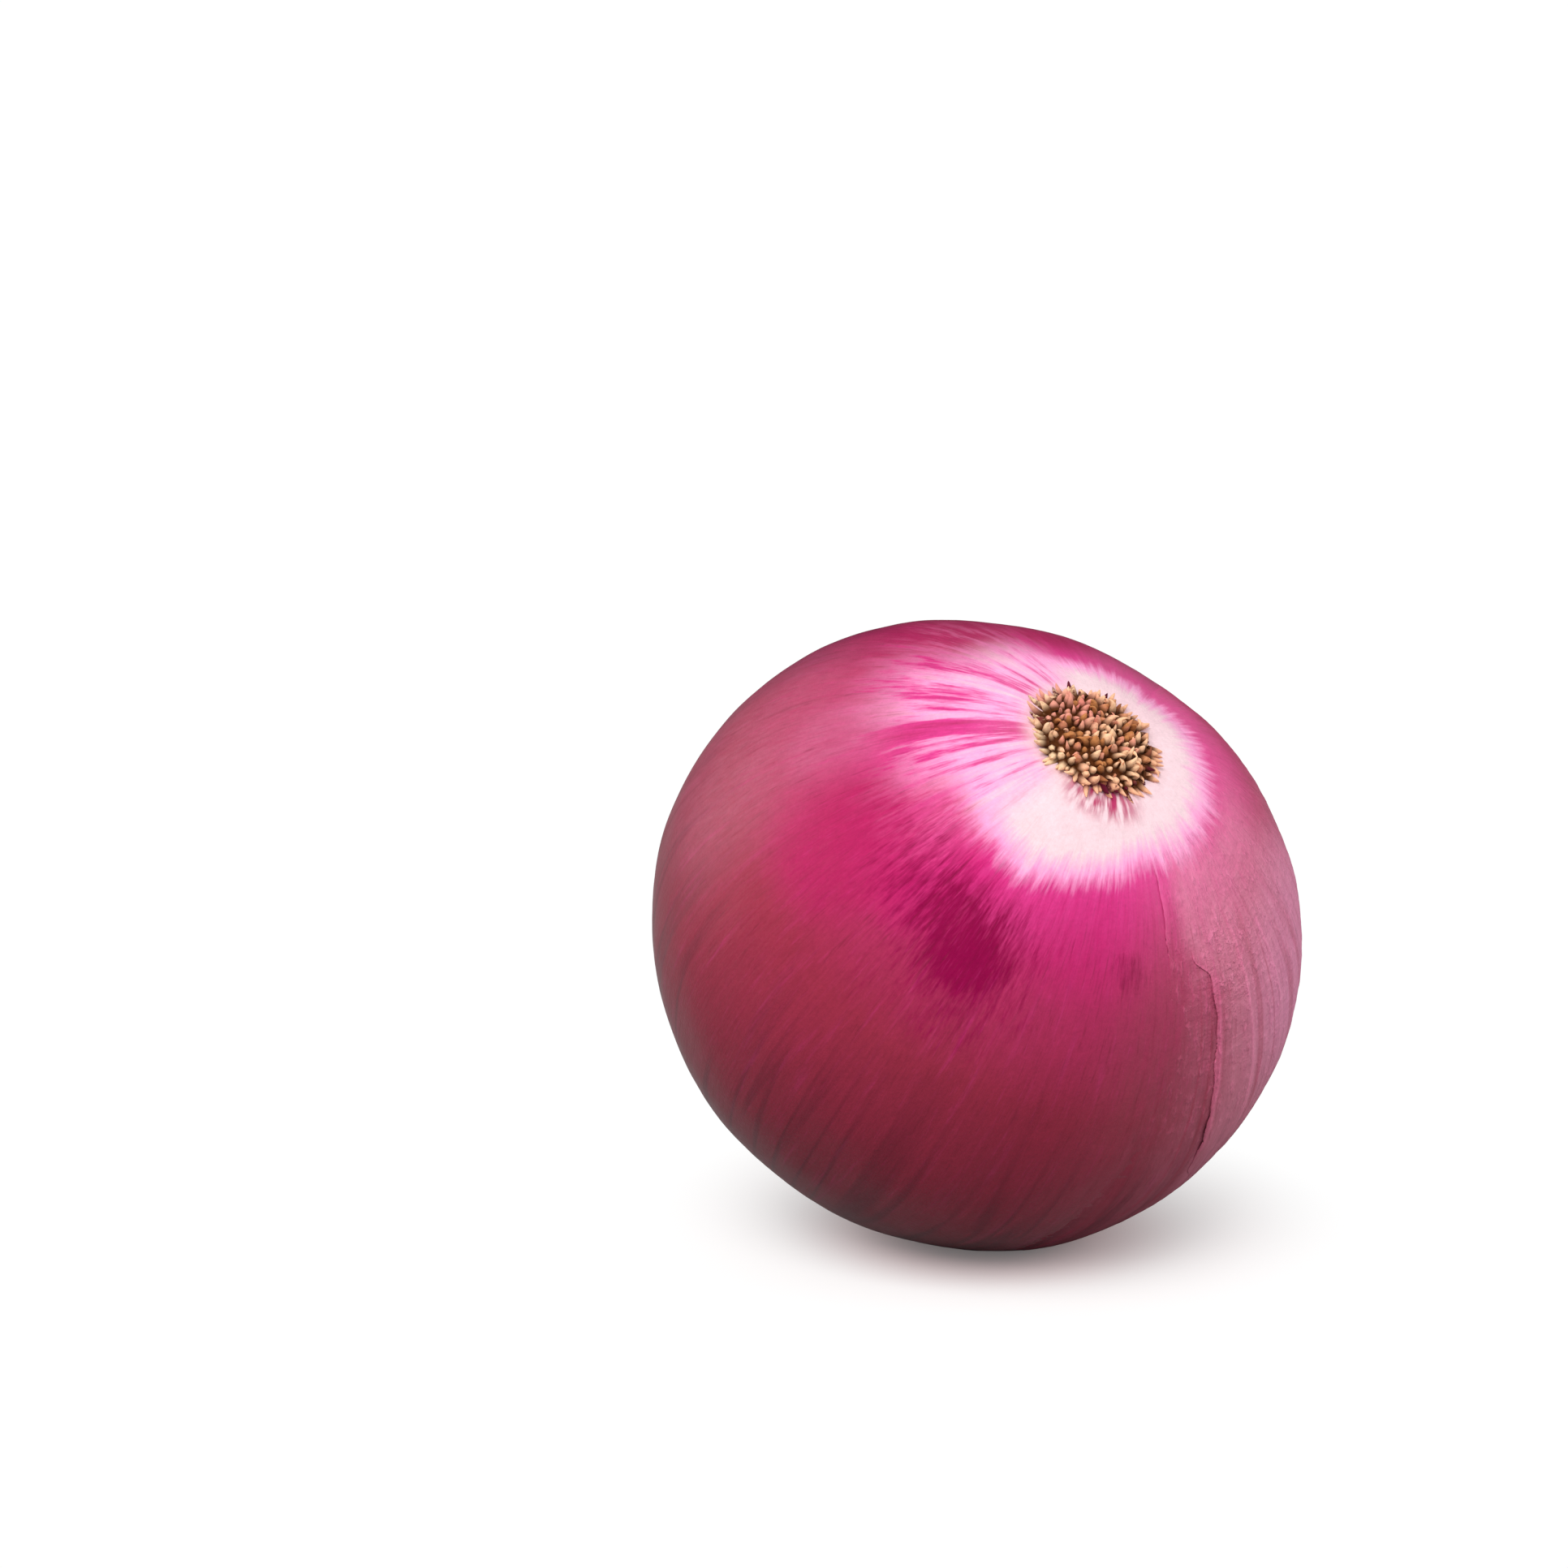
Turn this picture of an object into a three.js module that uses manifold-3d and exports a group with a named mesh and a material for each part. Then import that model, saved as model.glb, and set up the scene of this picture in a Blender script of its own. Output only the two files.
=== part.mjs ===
// A whole red onion as it lies on a table: root end up and leaning forward, neck folded along the table.
// Millimetres, +Z up. The origin is the middle of the small flat spot that the bulb rests on.
import * as THREE from "three";
import { mergeVertices } from "three/addons/utils/BufferGeometryUtils.js";
import Module from "manifold-3d";

const wasm = await Module();
wasm.setup();

// ---- Driving dimensions ----------------------------------------------------------------------------------

// Bulb. Its own axis runs from the neck to the root end, and its equator is the widest ring round that axis.
const equatorRadius = 38;
const rootHeight = 35.3; // equator plane to the root end, before the dimple is pressed in
const shoulderHeight = 35.3; // equator plane to the neck end, before the neck is drawn out
const leanAngle = THREE.MathUtils.degToRad(40); // root axis away from the vertical, towards -Y
const flatDepth = 0.9; // how far the resting spot is pressed flat

// The bulb's outline seen along its axis: slow waves round it, their heights as shares of the radius.
const lobes = [
  { waves: 2, height: 0.008, turn: 0.6 },
  { waves: 3, height: 0.005, turn: -0.9 },
  { waves: 5, height: 0.003, turn: 2.0 },
];

// Dimple at the root end.
const dimpleRadius = 11.5;
const dimpleDepth = 1.3;

// Neck end, where the shoulder draws out into the neck.
const shoulderRadius = 17;
const neckDraw = 15;
const neckDrawPower = 4;
const neckRadius = 3.8;

// Neck: the dry twisted leaf bases, from the shoulder to the cut tip.
const neckStraight = 1.4; // how far it runs on along the bulb's axis before it folds
const neckFoldReach = 5.2; // from its foot to the end of the fold, along the table
const neckLyingLength = 12; // from the end of the fold to its tip
const neckSwing = 3.5; // how far the tip swings to +X
const neckMiddleSwing = 1.2;
const neckWaist = 2.5; // radius of its thinnest stretch
const neckWaistAt = 0.4; // places along it as shares of its length
const neckKnob = 3.0; // radius of the knob before its tip
const neckKnobAt = 0.84;
const neckTip = 1.5;
const neckRidges = 5;
const neckRidgeShare = 0.14; // height of a ridge as a share of the radius
const neckTwist = THREE.MathUtils.degToRad(150); // from its foot to its tip
const tableGap = 0.35; // clear of the table
const footGap = 0.05; // between its foot and the body that cuts it back from the shoulder

// Root tuft: a felted mat of root bases with short dry roots standing on it.
const matRadius = 8.2;
const matThickness = 1.5;
const matRim = 0.7; // its thickness at the rim
const rootCount = 64;
const rootBaseRadius = 0.62;
const rootTipRadius = 0.4;
const shortRoot = 2.0;
const longRoot = 3.4;
const rimSplay = THREE.MathUtils.degToRad(62); // how far the rim's roots lie over

// Dry skin: the papery outer scale that is left on one side, split along the veins.
const skinThickness = 0.4;
const skinLeftEdge = THREE.MathUtils.degToRad(-77); // longitudes round the bulb's axis
const skinRightEdge = THREE.MathUtils.degToRad(34);
const skinTop = THREE.MathUtils.degToRad(31); // angles down from the root end
const skinBottomLeft = THREE.MathUtils.degToRad(106);
const skinBottomRight = THREE.MathUtils.degToRad(148);
const skinTear = THREE.MathUtils.degToRad(2.2); // waviness of its torn edges
const leftTearTurn = 11; // radians of wave down the left edge
const topTearTurn = 23; // radians of wave along the top edge

const fitGap = 0.3; // between pieces that touch

// Facets.
const bulbRoundSteps = 60;
const bulbLongSteps = 36;
const neckRoundSteps = 20;
const neckLongSteps = 16;
const matRoundSteps = 36;
const matLongSteps = 6;
const rootSides = 6;
const skinRoundSteps = 24;
const skinLongSteps = 22;

// ---- Materials -------------------------------------------------------------------------------------------

const bulbSkin = new THREE.MeshStandardMaterial({ color: 0x9e2c51, roughness: 0.35, metalness: 0 });
const paperySkin = new THREE.MeshStandardMaterial({ color: 0xb65b6f, roughness: 0.55, metalness: 0 });
const dryRoot = new THREE.MeshStandardMaterial({ color: 0xb0814f, roughness: 0.9, metalness: 0 });
const dryNeck = new THREE.MeshStandardMaterial({ color: 0xb8304f, roughness: 0.7, metalness: 0 });

// ---- The bulb's surface ----------------------------------------------------------------------------------

// How far the bulb's outline, seen along its axis, stands out of a circle, as a share of the radius.
function lobe(longitude) {
  return lobes.reduce((sum, { waves, height, turn }) => sum + height * Math.cos(waves * longitude + turn), 0);
}

// Height along the axis at a radius from it, on the root side or the neck side.
function rootSideHeight(radius) {
  const round = rootHeight * Math.sqrt(1 - (radius / equatorRadius) ** 2);
  const inDimple = Math.min(radius / dimpleRadius, 1);
  return round - dimpleDepth * Math.cos((inDimple * Math.PI) / 2) ** 2;
}

function neckSideHeight(radius) {
  const round = shoulderHeight * Math.sqrt(1 - (radius / equatorRadius) ** 2);
  const inShoulder = Math.min(radius / shoulderRadius, 1);
  return -round - neckDraw * (1 - inShoulder) ** neckDrawPower;
}

// A point of the bulb's surface, or a stated distance outside it, in the bulb's frame: root end at +Z.
function surfacePoint(downAngle, longitude, outside = 0) {
  const at = (angle) => {
    const radius = equatorRadius * Math.sin(angle);
    const height = angle < Math.PI / 2 ? rootSideHeight(radius) : neckSideHeight(radius);
    return new THREE.Vector2(radius * (1 + lobe(longitude) * Math.sin(angle)), height);
  };
  const step = 0.01;
  const here = at(downAngle);
  const along = at(downAngle + step).sub(at(downAngle - step)).normalize();
  const radius = here.x - along.y * outside;
  const height = here.y + along.x * outside;
  return new THREE.Vector3(radius * Math.cos(longitude), radius * Math.sin(longitude), height);
}

const neckEndAngle = Math.PI - Math.asin(neckRadius / equatorRadius);
const neckEndHeight = neckSideHeight(neckRadius);

// ---- Where the bulb lies ---------------------------------------------------------------------------------

// The lowest point of the leaning bulb: its height under the bulb's centre, and how far it is off the centre.
const restingRadius = equatorRadius * (1 + lobe(-Math.PI / 2));
const centreHeight = Math.hypot(shoulderHeight * Math.cos(leanAngle), restingRadius * Math.sin(leanAngle));
const touchOffset =
  ((shoulderHeight ** 2 - restingRadius ** 2) * Math.sin(leanAngle) * Math.cos(leanAngle)) / centreHeight;

// The bulb's frame in the part's frame.
const lying = new THREE.Group();
lying.position.set(0, -touchOffset, centreHeight - flatDepth);
lying.rotation.x = leanAngle;
lying.updateMatrix();

// ---- Solids ----------------------------------------------------------------------------------------------

function toSolid(geometry) {
  const bare = geometry.clone();
  bare.deleteAttribute("normal");
  bare.deleteAttribute("uv");
  const merged = mergeVertices(bare, 1e-4);
  return new wasm.Manifold(
    new wasm.Mesh({
      numProp: 3,
      vertProperties: merged.attributes.position.array,
      triVerts: new Uint32Array(merged.index.array),
    }),
  );
}

function toGeometry(solid) {
  const mesh = solid.getMesh();
  return new THREE.BufferGeometry()
    .setAttribute("position", new THREE.BufferAttribute(mesh.vertProperties, 3))
    .setIndex(new THREE.BufferAttribute(mesh.triVerts, 1));
}

// Moves every vertex of a geometry to where place() puts it.
function reshape(geometry, place) {
  const position = geometry.attributes.position;
  for (let i = 0; i < position.count; i++) {
    const moved = place(new THREE.Vector3().fromBufferAttribute(position, i));
    position.setXYZ(i, moved.x, moved.y, moved.z);
  }
  return geometry;
}

// A profile of (radius, height) pairs, from the top down, turned round +Z.
function turned(profile, steps) {
  return new THREE.LatheGeometry([...profile].reverse(), steps).rotateX(Math.PI / 2);
}

// The bulb before it is pressed flat, or a body that stands outside it all over: a lobed, turned profile.
function roundBulb(outside = 0) {
  const angles = Array.from({ length: bulbLongSteps + 1 }, (_, i) => (neckEndAngle * i) / bulbLongSteps);
  const profile = angles.map((angle) => {
    const point = surfacePoint(angle, 0, outside);
    return new THREE.Vector2(angle === 0 ? 0 : point.x / (1 + lobe(0) * Math.sin(angle)), point.z);
  });
  const end = profile.at(-1);
  end.y = neckEndHeight - outside;
  profile.push(new THREE.Vector2(0, end.y));
  const body = reshape(turned(profile, bulbRoundSteps), (p) => {
    const longitude = Math.atan2(p.y, p.x);
    const swell = 1 + lobe(longitude) * Math.min(Math.hypot(p.x, p.y) / equatorRadius, 1);
    return new THREE.Vector3(p.x * swell, p.y * swell, p.z);
  });
  return toSolid(body);
}

// Everything lower than a height over the table, in the part's frame.
function allBelow(height) {
  const span = 4 * equatorRadius;
  return new THREE.BoxGeometry(span, span, span).translate(0, 0, height - span / 2);
}

// The bulb, cut flat where it rests.
function bulbGeometry() {
  const table = allBelow(0).applyMatrix4(lying.matrix.clone().invert());
  return toGeometry(roundBulb().subtract(toSolid(table)));
}

// The mat of root bases, seated in the dimple and domed on top.
function matProfile() {
  const radii = Array.from({ length: matLongSteps + 1 }, (_, i) => (matRadius * i) / matLongSteps);
  const top = radii.map((radius) => {
    const thinning = (matThickness ** 2 - matRim ** 2) * (radius / matRadius) ** 2;
    const dome = Math.sqrt(matThickness ** 2 - thinning);
    return new THREE.Vector2(radius, rootSideHeight(radius) + fitGap + dome);
  });
  const seat = radii.map((radius) => new THREE.Vector2(radius, rootSideHeight(radius) + fitGap));
  return [...top, ...seat.reverse()];
}

// One dry root: a tapered stub standing on the mat at a place on a sunflower spiral, splayed out at the rim.
function rootGeometry(index) {
  const share = Math.sqrt((index + 0.5) / rootCount);
  const goldenTurn = Math.PI * (3 - Math.sqrt(5));
  const longitude = index * goldenTurn;
  const radius = share * (matRadius - rootBaseRadius);
  const length = THREE.MathUtils.lerp(shortRoot, longRoot, THREE.MathUtils.seededRandom(index + 1));
  const splay = rimSplay * share ** 2;
  const foot = rootSideHeight(radius) + fitGap + matThickness / 2;
  return new THREE.CylinderGeometry(rootTipRadius, rootBaseRadius, length, rootSides)
    .translate(0, length / 2, 0)
    .rotateX(Math.PI / 2)
    .rotateY(splay)
    .translate(radius, 0, foot)
    .rotateZ(longitude);
}

function tuftGeometry() {
  const mat = toSolid(turned(matProfile(), matRoundSteps));
  const roots = Array.from({ length: rootCount }, (_, i) => toSolid(rootGeometry(i)));
  return toGeometry(roots.reduce((tuft, root) => tuft.add(root), mat));
}

// The neck's line in the part's frame: out of the shoulder along the bulb's axis, then along the table.
function neckLine() {
  const foot = new THREE.Vector3(0, 0, neckEndHeight - fitGap - footGap).applyMatrix4(lying.matrix);
  const outward = new THREE.Vector3(0, 0, -1).transformDirection(lying.matrix);
  const lyingHeight = neckWaist * (1 + neckRidgeShare) + tableGap;
  const knobHeight = neckKnob * (1 + neckRidgeShare) + tableGap;
  const first = foot.clone().addScaledVector(outward, neckStraight);
  const bend = new THREE.Vector3(0, foot.y + neckFoldReach, lyingHeight);
  const middle = new THREE.Vector3(neckMiddleSwing, bend.y + neckLyingLength / 2, lyingHeight);
  const tip = new THREE.Vector3(neckSwing, bend.y + neckLyingLength, knobHeight);
  return new THREE.CatmullRomCurve3([foot, first, bend, middle, tip]);
}

// Radius along the neck: a foot as wide as the shoulder's end, a waist, a knob, and a rounded tip.
function neckRadiusAt(share) {
  if (share < neckWaistAt) {
    const narrowing = Math.sin((share / neckWaistAt) * (Math.PI / 2));
    return THREE.MathUtils.lerp(neckRadius, neckWaist, narrowing);
  }
  if (share < neckKnobAt) {
    const swelling = THREE.MathUtils.smoothstep(share, neckWaistAt, neckKnobAt);
    return THREE.MathUtils.lerp(neckWaist, neckKnob, swelling);
  }
  const pastKnob = (share - neckKnobAt) / (1 - neckKnobAt);
  return Math.sqrt(neckKnob ** 2 - (neckKnob ** 2 - neckTip ** 2) * pastKnob ** 2);
}

// The neck: a turned rod with twisted ridges, bent along its line, and cut back from shoulder and table.
function neckGeometry() {
  const line = neckLine();
  const frames = line.computeFrenetFrames(neckLongSteps);
  const shares = Array.from({ length: neckLongSteps + 1 }, (_, i) => i / neckLongSteps);
  const profile = [
    new THREE.Vector2(0, 1),
    ...[...shares].reverse().map((share) => new THREE.Vector2(neckRadiusAt(share), share)),
    new THREE.Vector2(0, 0),
  ];
  const rod = reshape(turned(profile, neckRoundSteps), (p) => {
    const step = Math.round(p.z * neckLongSteps);
    const share = step / neckLongSteps;
    const around = Math.atan2(p.y, p.x);
    const ridge = 1 + neckRidgeShare * Math.cos(neckRidges * around + neckTwist * share);
    const radius = Math.hypot(p.x, p.y) * ridge;
    return line
      .getPointAt(share)
      .addScaledVector(frames.normals[step], radius * Math.cos(around))
      .addScaledVector(frames.binormals[step], radius * Math.sin(around));
  });
  const shoulder = roundBulb(fitGap).transform(lying.matrix.toArray());
  return toGeometry(toSolid(rod).subtract(shoulder).subtract(toSolid(allBelow(tableGap))));
}

// The dry skin: a thin slab wrapped on the bulb, its edges wavy where it tore.
function skinGeometry() {
  return reshape(new THREE.BoxGeometry(1, 1, 1, skinRoundSteps, skinLongSteps, 1), (p) => {
    const across = 0.5 + p.x;
    const down = 0.5 - p.y;
    const bottom = THREE.MathUtils.lerp(skinBottomLeft, skinBottomRight, Math.sqrt(across));
    const edgeTear = skinTear * Math.sin(down * leftTearTurn) * (1 - across);
    const topTear = skinTear * Math.sin(across * topTearTurn) * (1 - down);
    const longitude = THREE.MathUtils.lerp(skinLeftEdge, skinRightEdge, across) + edgeTear;
    const downAngle = THREE.MathUtils.lerp(skinTop, bottom, down) + topTear;
    return surfacePoint(downAngle, longitude, fitGap + (0.5 + p.z) * skinThickness);
  });
}

// ---- Assembly --------------------------------------------------------------------------------------------

function named(name, geometry, material) {
  const mesh = new THREE.Mesh(geometry, material);
  mesh.name = name;
  return mesh;
}

const onion = new THREE.Group();
lying.add(named("bulb", bulbGeometry(), bulbSkin));
lying.add(named("root_tuft", tuftGeometry(), dryRoot));
lying.add(named("dry_skin", skinGeometry(), paperySkin));
onion.add(lying);
onion.add(named("neck", neckGeometry(), dryNeck));

export default onion;
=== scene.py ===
"""A whole red onion lying root end up: its finished pieces, made one operator at a time around the frame."""

import math
from collections import namedtuple

import bpy
from bpy.props import FloatProperty, FloatVectorProperty, IntProperty, PointerProperty
from mathutils import Matrix, Vector, noise
from mathutils.bvhtree import BVHTree


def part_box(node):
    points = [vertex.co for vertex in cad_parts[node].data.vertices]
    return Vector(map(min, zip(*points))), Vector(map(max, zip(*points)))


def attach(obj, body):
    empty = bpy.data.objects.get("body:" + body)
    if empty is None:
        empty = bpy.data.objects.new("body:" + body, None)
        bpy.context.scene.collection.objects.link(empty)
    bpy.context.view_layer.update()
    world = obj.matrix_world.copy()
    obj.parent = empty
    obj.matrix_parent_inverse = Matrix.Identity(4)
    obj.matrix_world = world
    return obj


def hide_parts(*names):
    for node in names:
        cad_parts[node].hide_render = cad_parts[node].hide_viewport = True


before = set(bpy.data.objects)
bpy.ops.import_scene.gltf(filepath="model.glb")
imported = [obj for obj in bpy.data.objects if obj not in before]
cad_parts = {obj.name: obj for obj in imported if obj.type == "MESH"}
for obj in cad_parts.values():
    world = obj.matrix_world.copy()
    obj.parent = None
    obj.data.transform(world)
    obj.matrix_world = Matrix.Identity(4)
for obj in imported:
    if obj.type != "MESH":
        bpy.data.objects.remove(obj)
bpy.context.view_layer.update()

bl_info = {
    "name": "Red Onion",
    "version": (1, 0, 0),
    "blender": (4, 5, 0),
    "location": "3D View > Sidebar > Onion",
    "description": "Makes a whole red onion with papery skin, root tuft and folded neck around its frame",
    "category": "Object",
}

MM = 0.001

# ---- The frame's own sizes -------------------------------------------------------------------------------

BULB_LOW, BULB_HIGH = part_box("bulb")
NECK_LOW, NECK_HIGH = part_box("neck")

# The bulb's outline seen along its axis: slow waves round it, their heights as shares of the radius.
LOBES = ((2, 0.008, 0.6), (3, 0.005, -0.9), (5, 0.003, 2.0))


def lobe(around):
    """How far the bulb's outline stands out of a circle at a longitude, as a share of the radius."""
    return sum(height * math.cos(waves * around + turn) for waves, height, turn in LOBES)


EQUATOR = (BULB_HIGH.x - BULB_LOW.x) / (2 + lobe(0) + lobe(math.pi))
SQUATNESS = 0.929
LEAN_DEGREES = 40
FLAT_DEPTH = 0.9 * MM
NECK_DRAW_POWER = 4

# ---- Places on the bulb ----------------------------------------------------------------------------------

# How far down the shoulder its folds rise, and the flatter place on the far side of the root end: its angle
# from the root end, its turn round the axis and its reach.
PUCKERED = (math.radians(146), math.radians(168))
FLATTER_PLACE = (0.58, 0.96)
FLATTER_REACH = math.radians(34)
# Degrees from the root end where the ripening colours turn from halo to pink, and that one cell of a streak
# of stretch 1 takes along the vein.
HALO_END = 28
CELL_LENGTH = 57.3


def colour(code):
    """A colour code such as #ffcc00 as linear red, green and blue."""
    shares = [int(code[i:i + 2], 16) / 255 for i in (1, 3, 5)]
    return tuple(c / 12.92 if c <= 0.04045 else ((c + 0.055) / 1.055) ** 2.4 for c in shares)


def size_property(name, description, default):
    return FloatProperty(
        name=name, description=description, default=default, subtype="DISTANCE", unit="LENGTH"
    )


def count_property(name, description, default):
    return IntProperty(name=name, description=description, default=default, min=1)


def angle_property(name, description, degrees):
    return FloatProperty(name=name, description=description, default=math.radians(degrees), subtype="ANGLE")


def share_property(name, description, default):
    return FloatProperty(name=name, description=description, default=default, subtype="FACTOR")


def colour_property(name, description, code):
    return FloatVectorProperty(name=name, description=description, default=colour(code), subtype="COLOR")


# ---- What a user can change ------------------------------------------------------------------------------


class OnionBulb(bpy.types.PropertyGroup):
    """The bulb's sizes and the colours of its skin from the root end to the neck."""

    equator: size_property("Equator radius", "Radius of the widest ring round the bulb's axis", EQUATOR)
    root_height: size_property("Root height", "From the widest ring to the root end", EQUATOR * SQUATNESS)
    neck_height: size_property("Neck height", "From the widest ring to the shoulder", EQUATOR * SQUATNESS)
    lean: angle_property("Lean", "Root axis away from upright", LEAN_DEGREES)
    flat: size_property("Flat depth", "How far the resting spot is pressed flat", FLAT_DEPTH)
    dimple_radius: size_property("Dimple radius", "Radius of the dimple round the roots", 11.5 * MM)
    dimple_depth: size_property("Dimple depth", "Depth of the dimple round the roots", 1.3 * MM)
    shoulder_radius: size_property("Shoulder radius", "Where the shoulder starts to draw out", 17 * MM)
    neck_draw: size_property("Neck draw", "How far the shoulder draws out into the neck", 15 * MM)
    neck_radius: size_property("Neck radius", "Radius where the neck leaves the bulb", 3.8 * MM)
    dents: size_property("Dents", "Height of the slow unevenness of the surface", 0.35 * MM)
    veins: size_property("Veins", "Height of the ridges over the veins", 0.05 * MM)
    flatness: size_property("Flatness", "How much flatter the far side of the root end is", 0.65 * MM)
    puckers: size_property("Puckers", "Height of the folds where the shoulder draws in", 0.6 * MM)
    halo: colour_property("Halo", "White flesh round the roots", "#f3d3da")
    blush: colour_property("Blush", "Pale pink at the halo's edge", "#fba6d5")
    hot: colour_property("Hot pink", "Bright pink outside the halo", "#dd3f8d")
    magenta: colour_property("Magenta", "Skin between the root end and the widest ring", "#b62d61")
    crimson: colour_property("Crimson", "Skin round the widest ring", "#992a43")
    maroon: colour_property("Maroon", "Skin on the neck side", "#6c1c2b")
    deep: colour_property("Deep crimson", "The darkest, most saturated patch", "#900044")
    glow: colour_property("Glow", "The saturated pink below the halo", "#d01a72")
    dry: colour_property("Dry", "Brownish crimson of the dry side, away from the halo", "#984a5a")
    vein: colour_property("Vein", "Dark veins that run together at the neck", "#3c0c1c")
    crease: colour_property("Crease", "Dark creases on the far side", "#8a1648")
    # Painted sheen: the milky reflection of a soft light, laid into the skin's colour.
    wax: colour_property("Wax", "Milky wax on the shaded side", "#c9849c")
    dust: colour_property("Dust", "Milky bloom of the dry side", "#e692ac")
    dusk: colour_property("Dusk", "The darker magenta beside the deep patch", "#b01c58")


class OnionSkin(bpy.types.PropertyGroup):
    """The loose papery skin on one side."""

    thickness: size_property("Thickness", "Thickness of the dry film", 0.07 * MM)
    gap: size_property("Gap", "How far the film stands off the bulb", 0.04 * MM)
    lift: size_property("Lift", "How far the torn edge curls up", 0.3 * MM)
    # The colour of the painted highlights that are screened over the film.
    edge: colour_property("Edge", "Light added on the dry film's torn edges and ridges", "#bd4a6c")


class OnionRoots(bpy.types.PropertyGroup):
    """The dry root tuft."""

    count: count_property("Count", "Number of short roots", 190)
    mat_radius: size_property("Mat radius", "Radius of the mat that the roots stand on", 6.8 * MM)
    shift: size_property("Shift", "How far the tuft grows off the bulb's axis", 1.2 * MM)
    mat_height: size_property("Mat height", "Height of the mat's dome", 1.5 * MM)
    root_radius: size_property("Root radius", "Radius of one root", 0.6 * MM)
    root_length: size_property("Root length", "Length of one root", 1.55 * MM)
    fringe_count: count_property("Fringe count", "Number of splayed rim roots", 58)
    fringe_length: size_property("Fringe length", "Length of a splayed rim root", 2.6 * MM)
    splay: angle_property("Splay", "How far the rim's roots lie over", 62)
    tan: colour_property("Tan", "Dry root fibre", "#fac9a0")
    rust: colour_property("Rust", "Darker dry roots", "#c07e4c")
    rose: colour_property("Rose", "Pinkish roots among the tan ones", "#e2937c")
    # Also the painted shade at each root's foot and on the mat between the roots.
    brown: colour_property("Brown", "Old root fibre and the gaps between roots", "#542a0e")
    peach: colour_property("Peach", "Fresh root bases at the rim", "#f6b892")
    straw: colour_property("Straw", "Pale thin fibres on the far side of the rim", "#f4cfa6")
    # Also the dark red painted shadow at the feet of the tuft's front roots.
    wine: colour_property("Wine", "Stained root bases at the rim", "#5c0f28")
    red: colour_property("Red", "Reddish roots at the top of the tuft", "#d0606a")


class OnionNeck(bpy.types.PropertyGroup):
    """The dry twisted leaf bases that lie folded along the table."""

    waist: size_property("Waist radius", "Radius of the thinnest stretch", 2.5 * MM)
    knob: size_property("Knob radius", "Radius of the knob before the tip", 3.0 * MM)
    twist: angle_property("Twist", "Turn of the leaf bases from foot to tip", 150)
    red: colour_property("Red", "Dry leaf bases", "#a82a48")
    straw: colour_property("Straw", "Dead tips and edges", "#c08a62")
    edge: colour_property("Edge", "Thin dry edges of the leaf bases", "#dba88c")
    crease: colour_property("Crease", "The folds between the leaf bases", "#4a0d1c")


class OnionStage(bpy.types.PropertyGroup):
    """The floor, lights and camera."""

    azimuth: angle_property("Azimuth", "Camera's turn round the onion", -37.2)
    elevation: angle_property("Elevation", "Camera's height over the table, as an angle", 13)
    distance: size_property("Distance", "From the camera to the bulb's centre", 508.7 * MM)
    aim_left: size_property("Aim left", "How far left of the bulb's centre the camera aims", 22.4 * MM)
    aim_up: size_property("Aim up", "How far over the bulb's centre the camera aims", 17.25 * MM)
    lens: FloatProperty(name="Lens", description="Focal length", default=100, subtype="DISTANCE_CAMERA")
    floor: colour_property("Floor", "The pale table", "#fbf7f6")
    # Painted reflected light: red thrown onto the table by the bulb, seen by the camera only.
    blushing: colour_property("Blushing", "The table close round the bulb, reddened by it", "#ffd2d4")
    clearing: share_property("Clearing", "How far the shadow on the table is lightened", 0.1)


# ---- Node trees as expressions ---------------------------------------------------------------------------


def socket_named(sockets, key):
    """A socket by its index, or by its identifier or name."""
    if isinstance(key, int):
        return sockets[key]
    for socket in sockets:
        if socket.identifier == key or (socket.name == key and socket.enabled):
            return socket
    raise KeyError(f"no socket {key!r} among {[socket.identifier for socket in sockets]}")


class Term:
    """A socket that can stand in a Python expression: each operator adds a Math node to its tree."""

    def __init__(self, graph, socket):
        self.graph = graph
        self.socket = socket

    def sibling(self, key):
        """Another output of the node that this socket belongs to."""
        return Term(self.graph, socket_named(self.socket.node.outputs, key))

    def math(self, operation, *others):
        return self.graph.math(operation, self, *others)

    def __add__(self, other):
        return self.graph.math("ADD", self, other)

    def __radd__(self, other):
        return self.graph.math("ADD", other, self)

    def __sub__(self, other):
        return self.graph.math("SUBTRACT", self, other)

    def __rsub__(self, other):
        return self.graph.math("SUBTRACT", other, self)

    def __mul__(self, other):
        return self.graph.math("MULTIPLY", self, other)

    def __rmul__(self, other):
        return self.graph.math("MULTIPLY", other, self)

    def __truediv__(self, other):
        return self.graph.math("DIVIDE", self, other)

    def __pow__(self, other):
        return self.graph.math("POWER", self, other)

    def __abs__(self):
        return self.graph.math("ABSOLUTE", self)

    def at_least(self, other):
        return self.graph.math("MAXIMUM", self, other)

    def at_most(self, other):
        return self.graph.math("MINIMUM", self, other)

    def clipped(self):
        """Kept between 0 and 1."""
        return self.at_least(0).at_most(1)

    def rise(self, start, end):
        """0 before start, 1 past end, and smooth between them. It falls instead where start is over end."""
        return self.graph.node(
            "ShaderNodeMapRange", {"interpolation_type": "SMOOTHSTEP"},
            {"Value": self, "From Min": start, "From Max": end},
        )


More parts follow.
